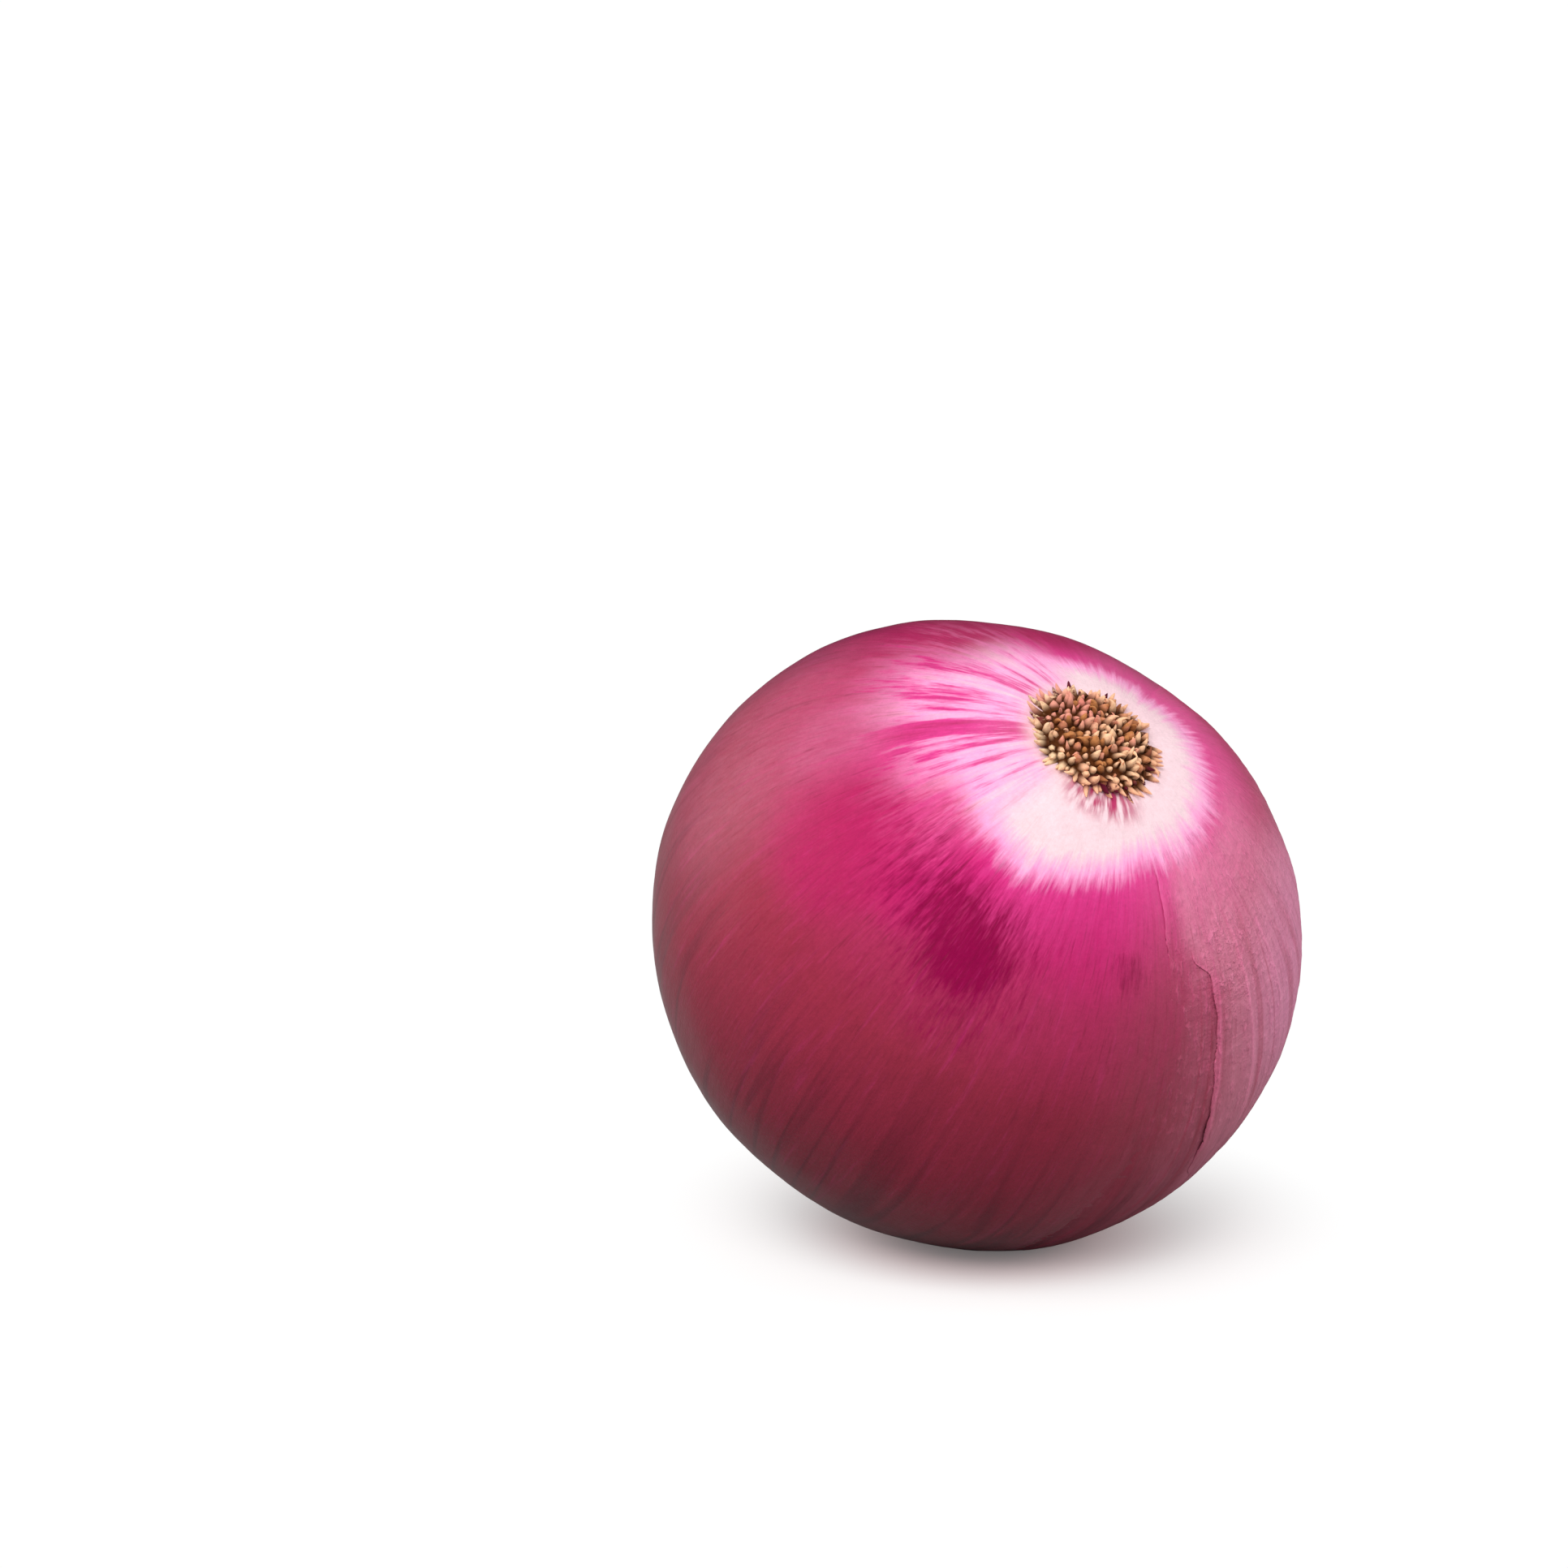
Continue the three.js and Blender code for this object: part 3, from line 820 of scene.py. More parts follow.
def neck_material(neck):
    """Dry leaf bases: red ridges, darker creases, papery streaks and straw-coloured tips."""
    material, graph, shader = new_material("dry_neck")
    ridge = graph.held("ridge")
    spun = graph.vector_math("MULTIPLY", graph.held("turn", "Vector"), (1.0, 1.0, 4.0))
    fibre = graph.noise(spun, 16, 3.0, 0.7)
    blotch = graph.noise(spun, 3, 2.0)
    straw = graph.held("along").rise(0.5, 1.0) * 0.8 + 0.25 * ridge + 0.3 * fibre + 0.25 * blotch
    dry = graph.mix(straw.clipped(), neck.red, neck.straw)
    pale = graph.mix((fibre + 0.6 * ridge).rise(0.3, 1.4) * 0.45, dry, neck.edge)
    base = graph.mix((0.5 + 0.5 * ridge + 0.25 * fibre).rise(0.5, -0.1) * 0.8, pale, neck.crease)
    height = 0.5 + 0.3 * fibre
    finish_shader(graph, shader, base, 0.72 + 0.06 * fibre, height, 0.14 * MM, {"Specular IOR Level": 0.3})
    return material


# ---- Pieces ----------------------------------------------------------------------------------------------


class OnionPiece:
    """What the operators share."""

    bl_options = {"REGISTER", "UNDO"}


class ONION_OT_bulb(OnionPiece, bpy.types.Operator):
    """Makes the bulb: the round body with its veined skin"""

    bl_idname = "onion.bulb"
    bl_label = "Bulb"

    def execute(self, context):
        bulb = context.scene.onion_bulb
        material = bulb_material(bulb)
        piece = grow("bulb_body", bulb_tree(bulb, material))
        settle(piece, "bulb_skin", "bulb")
        return {"FINISHED"}


class SurfaceFinder:
    """Finds points of the finished bulb's surface from angles on it."""

    def __init__(self, bulb, body):
        self.lying = bulb_matrix(bulb)
        self.tree = BVHTree.FromObject(body, bpy.context.evaluated_depsgraph_get())

    def at(self, down, around, outside):
        """A point at a distance outside the surface, at angles from the root end and round the axis."""
        ray = (self.lying.to_3x3() @ outward(down, around)).normalized()
        point, normal, _, _ = self.tree.ray_cast(self.lying.translation, ray)
        return point + normal * outside


# The two dry films, all angles in degrees. A film has its torn left edge, as angles from the root end and
# round the axis, the angle where its top comes out of the skin, how far down it takes to rise, from where to
# where its edge is torn free, how many films lie under it, and its share of the lift.
Film = namedtuple("Film", "name edge top sink torn layer lift")
FILMS = (
    Film(
        "papery_skin_inner",
        ((21, -97), (38, -96), (57, -95), (75, -99), (93, -103), (110, -104)),
        top=21, sink=5, torn=(20, 54), layer=0, lift=0.3,
    ),
    Film(
        "papery_skin_outer",
        ((21, -92), (36, -91), (43, -88), (47, -83), (60, -82), (85, -80.5), (93, -76), (108, -74)),
        top=30, sink=14, torn=(38, 100), layer=1, lift=1.0,
    ),
)
FILM_COLUMNS = 130
FILM_ROWS = 170
FILM_RIGHT = 34
FILM_END_LEFT = 109
FILM_END_DROP = 39
# How deep a film's grown edges reach into the bulb, and the lowest that it may come over the table.
FILM_ROOTED = 0.1 * MM
FILM_LOWEST = 0.12 * MM
RIDGE_PLACES = (-71, -58)
RIDGE_START = 38
RIDGE_LENGTH = 50
RIDGE_WIDTH = 1.3
RIDGE_HEIGHT = 0.16 * MM
CRINKLE = 0.06 * MM


def limited(value):
    """A value kept between 0 and 1."""
    return min(max(value, 0), 1)


def along_edge(edge, down):
    """Longitude of a torn edge at an angle from the root end, all in degrees."""
    for (start, first), (end, second) in zip(edge, edge[1:]):
        if down <= end:
            share = limited((down - start) / (end - start))
            return first + (second - first) * share * share * (3 - 2 * share)
    return edge[-1][1]


def film_angles(film, u, v):
    """Angles of a film's point in degrees: u from its torn left edge to its right, v from its top down."""
    top = film.top
    tear = 1.2 * noise.noise((u * 40, 0, top)) + 0.6 * noise.noise((u * 120, 0, top + 4))
    start = top + tear * min(u * 30, 1)
    end = FILM_END_LEFT + FILM_END_DROP * math.sqrt(u) + 1.5 * noise.noise((u * 25, 3, top))
    down = start + (end - start) * v
    ragged = 0.7 * noise.noise((top, v * 18, 2)) + 0.25 * noise.noise((top, v * 80, 4))
    left = along_edge(film.edge, down) + ragged
    return down, left + (FILM_RIGHT - left) * u


def film_height(film, skin, u, v, down, around):
    """How far a film's point stands off the bulb, and how far its edge is torn free there, from 0 to 1."""
    torn_from, torn_to = film.torn
    torn = limited(min((down - torn_from) / 8, (torn_to - down) / 20))
    clear_of_top = limited((down - film.top - 0.5) / film.sink)
    clear_of_end = min((1 - u) * 6, 1)
    clear_of_side = max(min(u * 9, 1), torn) * clear_of_end
    near_edge = math.exp(-((u / 0.026) ** 1.5))
    curl = max(0.15 + 1.5 * noise.noise((v * 6, 3, film.top)), 0) * near_edge
    low_down = 0.3 + 0.7 * limited((down - 62) / 14)
    along_ridge = (down - RIDGE_START) / RIDGE_LENGTH
    ridge = sum(
        RIDGE_HEIGHT * math.exp(-(((around - at) / RIDGE_WIDTH) ** 2)) * math.sin(math.pi * along_ridge)
        for at in RIDGE_PLACES if 0 < along_ridge < 1
    )
    crinkle = CRINKLE * noise.noise((around * 0.35, down * 0.9, film.top)) * min(u * 12, 1) * min(v * 12, 1)
    outside = skin.gap + film.layer * (skin.gap + skin.thickness)
    height = -FILM_ROOTED + (outside + FILM_ROOTED) * clear_of_top * clear_of_side
    raised = skin.lift * film.lift * low_down * curl * torn + ridge + crinkle
    return height + raised * clear_of_top * clear_of_end, torn


def film_piece(film, find, skin, material):
    """One dry film that comes out of the bulb's skin near the roots, torn and a little curled on its left."""
    points = []
    inward = []
    for row in range(FILM_ROWS + 1):
        v = row / FILM_ROWS
        for column in range(FILM_COLUMNS + 1):
            u = (column / FILM_COLUMNS) ** 1.7
            down, around = film_angles(film, u, v)
            height, torn = film_height(film, skin, u, v, down, around)
            point = find.at(math.radians(down), math.radians(around), height)
            point.z = max(point.z, FILM_LOWEST)
            points.append(point)
            inward.append(u + 0.03 * (1 - torn))
    wide = FILM_COLUMNS + 1
    corners = [row * wide + column for row in range(FILM_ROWS) for column in range(FILM_COLUMNS)]
    faces = [(corner, corner + wide, corner + wide + 1, corner + 1) for corner in corners]
    piece = mesh_object(film.name, points, faces, material)
    piece.data.attributes.new("inward", "FLOAT", "POINT").data.foreach_set("value", inward)
    shell = piece.modifiers.new("Thickness", "SOLIDIFY")
    shell.thickness = skin.thickness
    shell.offset = 1
    return piece


class ONION_OT_papery_skin(OnionPiece, bpy.types.Operator):
    """Makes the papery skin: two thin dry films on one side, torn along the veins"""

    bl_idname = "onion.papery_skin"
    bl_label = "Papery skin"

    def execute(self, context):
        bulb = context.scene.onion_bulb
        skin = context.scene.onion_skin
        find = SurfaceFinder(bulb, bpy.data.objects["bulb_body"])
        material = papery_material(bulb, skin)
        pieces = [film_piece(film, find, skin, material) for film in FILMS]
        for piece in pieces:
            settle(piece, "papery_skin", "dry_skin")
        return {"FINISHED"}


GOLDEN_TURN = math.pi * (3 - math.sqrt(5))
# The kinds of short root: shares of the usual length and thickness, and how far each bends and hooks over.
ROOT_KINDS = ((0.8, 1.3, 0.1, 0.05), (0.95, 1.1, 0.2, 0.15), (1.1, 0.9, 0.3, 0.3), (0.7, 1.45, -0.15, 0.1))
# The tuft is shifted off the axis towards this longitude.
SHIFT_SIDE = math.radians(-200)


def root_shape(graph, length, radius, bend, hook, steps):
    """One root: a tapered blunt rod, bent over by shares of its length, standing on +Z."""
    line = graph.node(
        "GeometryNodeCurvePrimitiveBezierSegment", {},
        {
            "Resolution": steps,
            "Start": (0.0, 0.0, 0.0),
            "Start Handle": graph.vector(0.0, 0.0, length * 0.4),
            "End Handle": graph.vector(length * bend, 0.0, length * (0.9 - 0.3 * hook)),
            "End": graph.vector(length * (bend + hook), 0.0, length * (1 - hook)),
        },
    )
    share = graph.node("GeometryNodeSplineParameter", {}, {}, "Factor")
    into_tip = (share.at_least(0.6) - 0.6) / 0.4
    blunt = (1.002 - into_tip ** 3).math("SQRT") * (0.85 + 0.3 * share)
    ring = graph.node("GeometryNodeCurvePrimitiveCircle", {}, {"Resolution": 6, "Radius": radius})
    return graph.node(
        "GeometryNodeCurveToMesh", {},
        {
            "Curve": graph.store(line, "along", share), "Profile Curve": ring,
            "Scale": blunt, "Fill Caps": True,
        },
    )


def round_axis(graph, out, turn, height):
    """A place at a distance from the axis, a turn round it and a height."""
    return graph.vector(out * turn.math("COSINE"), out * turn.math("SINE"), height)


def tipped_out(graph, turn, angle):
    """A rotation that tips what stands on +Z outwards by an angle, towards a turn round the axis."""
    axis = graph.vector(0 - turn.math("SINE"), turn.math("COSINE"), 0.0)
    return graph.node("FunctionNodeAxisAngleToRotation", {}, {"Axis": axis, "Angle": angle})


def standing_roots(graph, count, mat_radius, mat_height, floor_height, shapes, splay):
    """Roots of a few shapes spread evenly over the domed mat, lying further over towards its rim."""
    kinds = graph.node("GeometryNodeJoinGeometry", {}, {0: shapes})
    index = graph.node("GeometryNodeInputIndex")
    share = ((index + 0.5) / count).math("SQRT")
    turn = index * GOLDEN_TURN
    seat = floor_height + mat_height * (1 - share * share * 0.85)
    dots = graph.node("GeometryNodeMeshLine", {}, {"Count": count})
    dots = graph.store(dots, "tone", graph.random(0.0, 1.0, 11))
    dots = graph.store(dots, "rim", share.rise(0.72, 1.0))
    dots = graph.move(dots, round_axis(graph, mat_radius * share, turn, seat))
    over = splay * share ** 3 + graph.random(-0.35, 0.35, 5)
    spun = graph.node(
        "FunctionNodeAxisAngleToRotation", {},
        {"Axis": (0.0, 0.0, 1.0), "Angle": graph.random(0.0, 6.28, 6)},
    )
    turned = graph.node(
        "FunctionNodeRotateRotation", {"rotation_space": "LOCAL"},
        {"Rotation": tipped_out(graph, turn + graph.random(-1.0, 1.0, 3), over), "Rotate By": spun},
    )
    kind = graph.node(
        "FunctionNodeRandomValue", {"data_type": "INT"},
        {"Min_002": 0, "Max_002": len(shapes) - 1, "Seed": 9}, 2,
    )
    size = graph.random(0.6, 1.25, 8)
    return graph.node(
        "GeometryNodeInstanceOnPoints", {},
        {
            "Points": dots, "Instance": kinds, "Pick Instance": True, "Instance Index": kind,
            "Rotation": turned, "Scale": graph.vector(size, size, size * graph.random(0.8, 1.25, 12)),
        },
    )


def fringe_roots(graph, count, mat_radius, mat_height, floor_height, shape):
    """A ring of roots splayed flat round the mat's rim."""
    index = graph.node("GeometryNodeInputIndex")
    turn = index * (2 * math.pi) / count + graph.random(-0.03, 0.03, 21)
    out = mat_radius * graph.random(0.86, 1.02, 22)
    seat = floor_height + mat_height * graph.random(0.0, 0.35, 23)
    dots = graph.node("GeometryNodeMeshLine", {}, {"Count": count})
    dots = graph.store(dots, "tone", graph.random(0.0, 1.0, 24))
    dots = graph.store(dots, "rim", 1.0)
    dots = graph.move(dots, round_axis(graph, out, turn, seat))
    size = graph.vector(graph.random(0.8, 1.15, 26), graph.random(0.8, 1.15, 27), graph.random(0.5, 1.05, 28))
    return graph.node(
        "GeometryNodeInstanceOnPoints", {},
        {
            "Points": dots, "Instance": shape, "Scale": size,
            "Rotation": tipped_out(graph, turn, graph.random(1.15, 1.6, 25)),
        },
    )


def root_mat(graph, mat_radius, mat_height, floor_height):
    """The lumpy dome that the roots stand on."""
    dome = graph.node("GeometryNodeMeshUVSphere", {}, {"Segments": 48, "Rings": 24, "Radius": 1.0})
    place = graph.node("GeometryNodeInputPosition")
    lumpy = graph.node(
        "ShaderNodeVectorMath", {"operation": "SCALE"},
        {0: place, "Scale": 1 + graph.noise(place, 6, 2.0) * 0.12},
    )
    return graph.node(
        "GeometryNodeTransform", {},
        {
            "Geometry": graph.move(dome, lumpy), "Translation": graph.vector(0.0, 0.0, floor_height),
            "Scale": graph.vector(mat_radius, mat_radius, mat_height),
        },
    )


def tuft_tree(bulb, roots, material):
    """Geometry Nodes that stand short roots on a domed mat, and lay a fringe of them round its rim."""
    graph = new_shape("Onion roots")
    count = graph.input("Count", "Int", roots.count)
    fringe_count = graph.input("Fringe count", "Int", roots.fringe_count)
    mat_radius, mat_height, root_radius, root_length = graph.inputs(
        roots, "mat_radius", "mat_height", "root_radius", "root_length"
    )
    fringe_length, splay, shift = graph.inputs(roots, "fringe_length", "splay", "shift")
    floor_height = graph.input("Seat height", "Float", bulb.root_height - bulb.dimple_depth)
    lean = graph.input("Lean", "Float", bulb.lean)
    centre = graph.input("Centre", "Vector", bulb_centre(bulb))

    shapes = [
        graph.node(
            "GeometryNodeGeometryToInstance", {},
            {0: root_shape(graph, root_length * long, root_radius * thick, bend, hook, 10)},
        )
        for long, thick, bend, hook in ROOT_KINDS
    ]
    tuft = standing_roots(graph, count, mat_radius, mat_height, floor_height, shapes, splay)
    fringe_shape = root_shape(graph, fringe_length, root_radius, 0.08, 0.04, 7)
    fringe = fringe_roots(graph, fringe_count, mat_radius, mat_height, floor_height, fringe_shape)
    mat = root_mat(graph, mat_radius, mat_height, floor_height)
    joined = graph.node("GeometryNodeJoinGeometry", {}, {0: [tuft, fringe, mat]})
    whole = graph.node("GeometryNodeRealizeInstances", {}, {0: joined})

    aside = graph.vector(shift * math.cos(SHIFT_SIDE), shift * math.sin(SHIFT_SIDE))
    shifted = graph.vector_math("ADD", graph.node("GeometryNodeInputPosition"), aside)
    finish_tree(graph, graph.move(whole, laid_down(graph, shifted, lean, centre)), material)
    return graph.tree


class ONION_OT_root_tuft(OnionPiece, bpy.types.Operator):
    """Makes the root tuft: short dry roots on their mat, with a splayed fringe"""

    bl_idname = "onion.root_tuft"
    bl_label = "Root tuft"

    def execute(self, context):
        scene = context.scene
        material = root_material(scene.onion_bulb, scene.onion_roots)
        piece = grow("root_fibres", tuft_tree(scene.onion_bulb, scene.onion_roots, material))
        settle(piece, "dry_root", "root_tuft")
        return {"FINISHED"}


NECK_STEPS = 170
NECK_SIDES = 144
NECK_FLARE = 8.2 * MM
NECK_RAGGED = 1.6 * MM
NECK_LOWEST = 0.05 * MM


def smooth_path(points, steps):
    """A Catmull-Rom curve through points, as evenly numbered places on it."""
    padded = [points[0] * 2 - points[1], *points, points[-1] * 2 - points[-2]]
    path = []
    spans = len(points) - 1
    for i in range(steps + 1):
        at = min(i / steps * spans, spans - 1e-9)
        k = int(at)
        t = at - k
        a, b, c, d = padded[k:k + 4]
        curved = (2 * a - 5 * b + 4 * c - d) * t**2 + (3 * b - a - 3 * c + d) * t**3
        path.append(0.5 * (2 * b + (c - a) * t + curved))
    return path


def neck_radius_at(bulb, neck, share):
    """Radius of the neck from its flared foot on the bulb, past its waist and knob, to its pinched tip."""
    if share < 0.2:
        return bulb.neck_radius + (NECK_FLARE - bulb.neck_radius) * (1 - share / 0.2) ** 2.2
    if share < 0.55:
        narrowed = math.sin((share - 0.2) / 0.35 * math.pi / 2)
        return bulb.neck_radius + (neck.waist - bulb.neck_radius) * narrowed
    if share < 0.8:
        return neck.waist + (neck.knob - neck.waist) * (1 - math.cos((share - 0.55) / 0.25 * math.pi)) / 2
    return neck.knob * (1 - 0.5 * ((share - 0.8) / 0.2) ** 1.5)


def neck_ridge(twisted, share):
    """How far the twisted leaf bases stand out, round 0: broad folds, wrinkles and fine fibres."""
    x = math.cos(twisted)
    y = math.sin(twisted)
    folds = 0.6 * math.cos(5 * twisted + 2 * noise.noise((x, y, share * 2)))
    folds += 0.5 * noise.noise((3 * x, 3 * y, share * 3))
    wrinkles = 0.6 * noise.noise((9 * x, 9 * y, share * 5)) + 0.35 * noise.noise((24 * x, 24 * y, share * 7))
    return folds + wrinkles


def neck_route(bulb, neck):
    """Points on the neck's middle line: out of the shoulder, over onto the table and along it to the tip."""
    lying = bulb_matrix(bulb)
    _, end_height = neck_end(bulb)
    start = lying @ Vector((0, 0, end_height + 4.2 * MM))
    foot = lying @ Vector((0, 0, end_height))
    upright = foot + (foot - start).normalized() * 1.4 * MM
    lowest = NECK_LOW.z
    bend = Vector((0, foot.y + 5.2 * MM, lowest + neck.waist * 1.05))
    tip = Vector((NECK_HIGH.x - neck.knob * 1.2, NECK_HIGH.y - 1.0 * MM, lowest + neck.knob))
    middle = Vector((tip.x * 0.35, (bend.y + tip.y) / 2, lowest + neck.waist))
    return [start, foot, upright, bend, middle, tip]


def neck_offset(side, over, ahead, radius, turn, ridge, share):
    """From the middle line to the neck's surface at a turn round it, splayed and ragged at the tip."""
    x = math.cos(turn)
    y = math.sin(turn)
    splayed = 1 + 3.5 * max(share - 0.9, 0) * noise.noise((x * 3, y * 3, 9))
    ragged = max(share - 0.93, 0) / 0.07 * NECK_RAGGED * noise.noise((x * 4, y * 4, 2))
    return (side * x + over * y) * radius * (1 + 0.13 * ridge) * splayed + ahead * ragged


class ONION_OT_neck(OnionPiece, bpy.types.Operator):
    """Makes the neck: dry, twisted leaf bases folded along the table"""

    bl_idname = "onion.neck"
    bl_label = "Neck"

    def execute(self, context):
        bulb = context.scene.onion_bulb
        neck = context.scene.onion_neck
        path = smooth_path(neck_route(bulb, neck), NECK_STEPS)
        points = []
        alongs = []
        ridges = []
        turns = []
        side = Vector((1, 0, 0))
        for i, place in enumerate(path):
            share = i / NECK_STEPS
            ahead = (path[min(i + 1, NECK_STEPS)] - path[max(i - 1, 0)]).normalized()
            side = (side - ahead * side.dot(ahead)).normalized()
            over = ahead.cross(side)
            radius = neck_radius_at(bulb, neck, share)
            for j in range(NECK_SIDES):
                turn = 2 * math.pi * j / NECK_SIDES
                twisted = turn + neck.twist * share
                ridge = neck_ridge(twisted, share)
                point = place + neck_offset(side, over, ahead, radius, turn, ridge, share)
                point.z = max(point.z, NECK_LOWEST)
                points.append(point)
                alongs.append(share)
                ridges.append(ridge)
                turns.extend((math.cos(twisted), math.sin(twisted), share))
        faces = []
        for start in range(0, NECK_STEPS * NECK_SIDES, NECK_SIDES):
            for j in range(NECK_SIDES):
                here = start + j
                beside = start + (j + 1) % NECK_SIDES
                faces.append((here, beside, beside + NECK_SIDES, here + NECK_SIDES))
        faces.append(tuple(reversed(range(NECK_SIDES))))
        faces.append(tuple(range(NECK_STEPS * NECK_SIDES, (NECK_STEPS + 1) * NECK_SIDES)))
        piece = mesh_object("neck_leaves", points, faces, neck_material(neck))
        attributes = piece.data.attributes
        attributes.new("along", "FLOAT", "POINT").data.foreach_set("value", alongs)
        attributes.new("ridge", "FLOAT", "POINT").data.foreach_set("value", ridges)
        attributes.new("turn", "FLOAT_VECTOR", "POINT").data.foreach_set("vector", turns)
        settle(piece, "dry_neck", "neck")
        return {"FINISHED"}


# ---- Stage -----------------------------------------------------------------------------------------------


# Each soft light: metres across, over and in front of the bulb, width, height, power, and whether shiny skin
# mirrors it.
SOFT_LIGHTS = (
    ("left_softbox", (-0.9, 0.2, -0.15), 0.8, 1.1, 5.0, True),
    ("right_softbox", (0.98, 0.1, -0.12), 0.8, 1.1, 6.4, True),
    ("key_softbox", (-0.3, 0.62, 0.85), 0.9, 0.7, 11.0, False),
)
FLOOR_HALF = 6.0
# Just over white, so that the floor and the backdrop meet without an edge.
WHITE = 1.02
# How much of each colour the floor throws back up, and how grey the room is as light and as a reflection.
THROWN_BACK = (0.35, 0.34, 0.34)
ROOM_GREY = 0.5
MIRRORED_GREY = 0.05
# From where to where the floor's painted red bounce fades and its shadow clears, away from the resting spot.
RED_BOUNCE_FADE = (8 * MM, 26 * MM)
SHADOW_FADE = (6 * MM, 50 * MM)


def stage_axes(stage):
    """Right, up and back as the camera sees them."""
    turn = stage.azimuth
    tilt = stage.elevation
    back = Vector((math.sin(turn) * math.cos(tilt), -math.cos(turn) * math.cos(tilt), math.sin(tilt)))
    right = Vector((math.cos(turn), math.sin(turn), 0))
    return right, back.cross(right), back


def aimed(place, target):
    """A matrix at a place that looks at a target."""
    return Matrix.Translation(place) @ (place - target).to_track_quat("Z", "Y").to_matrix().to_4x4()


def soft_light(name, place, target, width, height, power, mirrored):
    """A white rectangular soft light that the camera doesn't see, and shiny skin only if it is mirrored."""
    data = bpy.data.lights.new(name, "AREA")
    data.shape = "RECTANGLE"
    data.size = width
    data.size_y = height
    data.energy = power
    light = bpy.data.objects.new(name, data)
    light.matrix_world = aimed(place, target)
    light.visible_camera = False
    light.visible_glossy = mirrored
    bpy.context.scene.collection.objects.link(light)


def floor_material(stage):
    """Pale table: the camera sees a light shadow that clears to white and a painted red bounce from the bulb
    close round it, and little light is thrown back up.
    """
    material, graph, shader = new_material("pale_table")
    seen = graph.node("ShaderNodeLightPath", {}, {}, "Is Camera Ray")
    graph.feed(shader.inputs["Roughness"], 0.9)
    graph.feed(shader.inputs["Specular IOR Level"], 0.0)
    place = graph.node("ShaderNodeTexCoord", {}, {}, "Object")
    away = graph.vector_math("LENGTH", place, output="Value")
    # Painted red bounce from the bulb on the table round the resting spot, seen by the camera only.
    bounce_tinted = graph.mix(away.rise(*RED_BOUNCE_FADE), stage.blushing, stage.floor)
    graph.feed(shader.inputs["Base Color"], graph.mix(seen, THROWN_BACK, bounce_tinted))
    glow = graph.node("ShaderNodeEmission", {}, {"Color": (1.0, 1.0, 1.0), "Strength": WHITE})
    clear = (away.rise(*SHADOW_FADE) * (1 - stage.clearing) + stage.clearing) * seen
    mixed = graph.node("ShaderNodeMixShader", {}, {0: clear, 1: Term(graph, shader.outputs[0]), 2: glow})
    graph.feed(material.node_tree.nodes["Material Output"].inputs["Surface"], mixed)
    return material


def studio_world():
    """A grey room that lights evenly, is faint in shiny skin and looks white to the camera."""
    world = bpy.data.worlds.new("studio")
    world.use_nodes = True
    graph = Graph(world.node_tree)
    seen = graph.node("ShaderNodeLightPath", {}, {}, "Is Camera Ray")
    room = graph.mix(seen.sibling("Is Glossy Ray"), (ROOM_GREY,) * 3, (MIRRORED_GREY,) * 3)
    backdrop = graph.mix(seen, room, (WHITE,) * 3)
    graph.feed(world.node_tree.nodes["Background"].inputs["Color"], backdrop)
    return world


def studio_camera(stage, centre):
    """The camera, aimed beside and over the bulb's centre so that the onion stands low and to the right."""
    right, up, back = stage_axes(stage)
    camera = bpy.data.objects.new("camera", bpy.data.cameras.new("camera"))
    camera.data.lens = stage.lens
    camera.data.sensor_width = 36
    aim = centre - right * stage.aim_left + up * stage.aim_up
    axes = Matrix((right, up, back)).transposed().to_4x4()
    camera.matrix_world = Matrix.Translation(aim + back * stage.distance) @ axes
    bpy.context.scene.collection.objects.link(camera)
    return camera


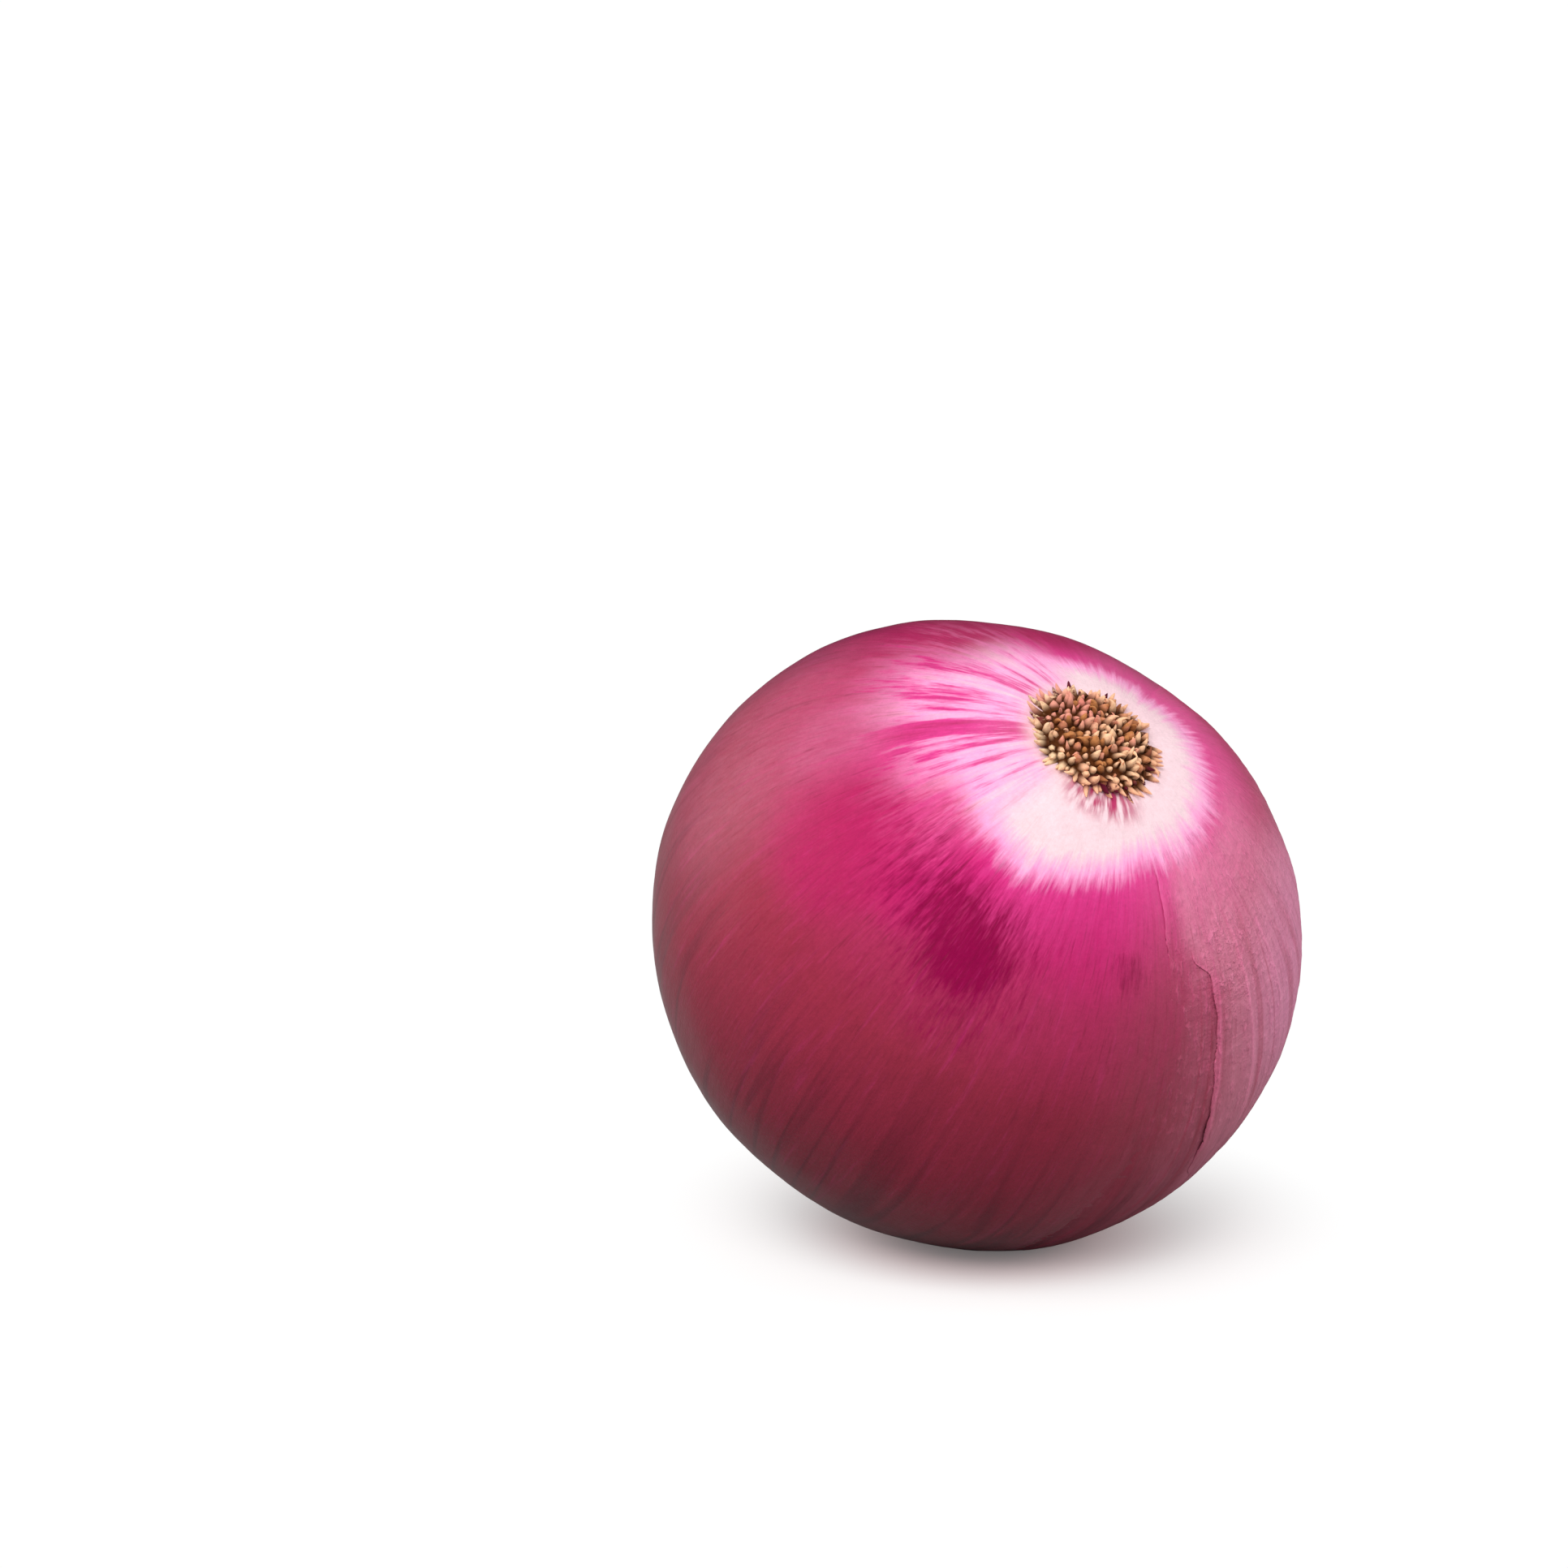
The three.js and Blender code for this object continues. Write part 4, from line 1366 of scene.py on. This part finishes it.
class ONION_OT_stage(OnionPiece, bpy.types.Operator):
    """Makes the pale floor, the soft lights and the camera"""

    bl_idname = "onion.stage"
    bl_label = "Stage"

    def execute(self, context):
        scene = context.scene
        stage = scene.onion_stage
        centre = bulb_centre(scene.onion_bulb)
        half = FLOOR_HALF
        corners = [(-half, -half, 0), (half, -half, 0), (half, half, 0), (-half, half, 0)]
        floor = mesh_object("floor", corners, [(0, 1, 2, 3)], floor_material(stage))
        right, up, back = stage_axes(stage)
        for name, (across, high, near), width, height, power, mirrored in SOFT_LIGHTS:
            place = centre + right * across + up * high + back * near
            soft_light(name, place, centre, width, height, power, mirrored)
        scene.world = studio_world()
        scene.camera = studio_camera(stage, centre)
        scene.view_settings.view_transform = "Standard"
        return {"FINISHED"}


# ---- Panel and registration ------------------------------------------------------------------------------

OPERATORS = (ONION_OT_bulb, ONION_OT_papery_skin, ONION_OT_root_tuft, ONION_OT_neck, ONION_OT_stage)
SETTINGS = {
    "onion_bulb": OnionBulb,
    "onion_skin": OnionSkin,
    "onion_roots": OnionRoots,
    "onion_neck": OnionNeck,
    "onion_stage": OnionStage,
}


class ONION_PT_panel(bpy.types.Panel):
    """Lists the onion's pieces and their settings"""

    bl_label = "Red Onion"
    bl_idname = "ONION_PT_panel"
    bl_space_type = "VIEW_3D"
    bl_region_type = "UI"
    bl_category = "Onion"

    def draw(self, context):
        for operator, group in zip(OPERATORS, SETTINGS):
            box = self.layout.box()
            box.operator(operator.bl_idname)
            settings = getattr(context.scene, group)
            for name in settings.__annotations__:
                box.prop(settings, name)


def register():
    for group in SETTINGS.values():
        bpy.utils.register_class(group)
    for operator in OPERATORS:
        bpy.utils.register_class(operator)
    bpy.utils.register_class(ONION_PT_panel)
    for name, group in SETTINGS.items():
        setattr(bpy.types.Scene, name, PointerProperty(type=group))


def unregister():
    for name in SETTINGS:
        delattr(bpy.types.Scene, name)
    bpy.utils.unregister_class(ONION_PT_panel)
    for known in (*OPERATORS, *SETTINGS.values()):
        bpy.utils.unregister_class(known)


def main():
    register()
    for operator in OPERATORS:
        group, name = operator.bl_idname.split(".")
        getattr(getattr(bpy.ops, group), name)()


if __name__ == "__main__":
    main()
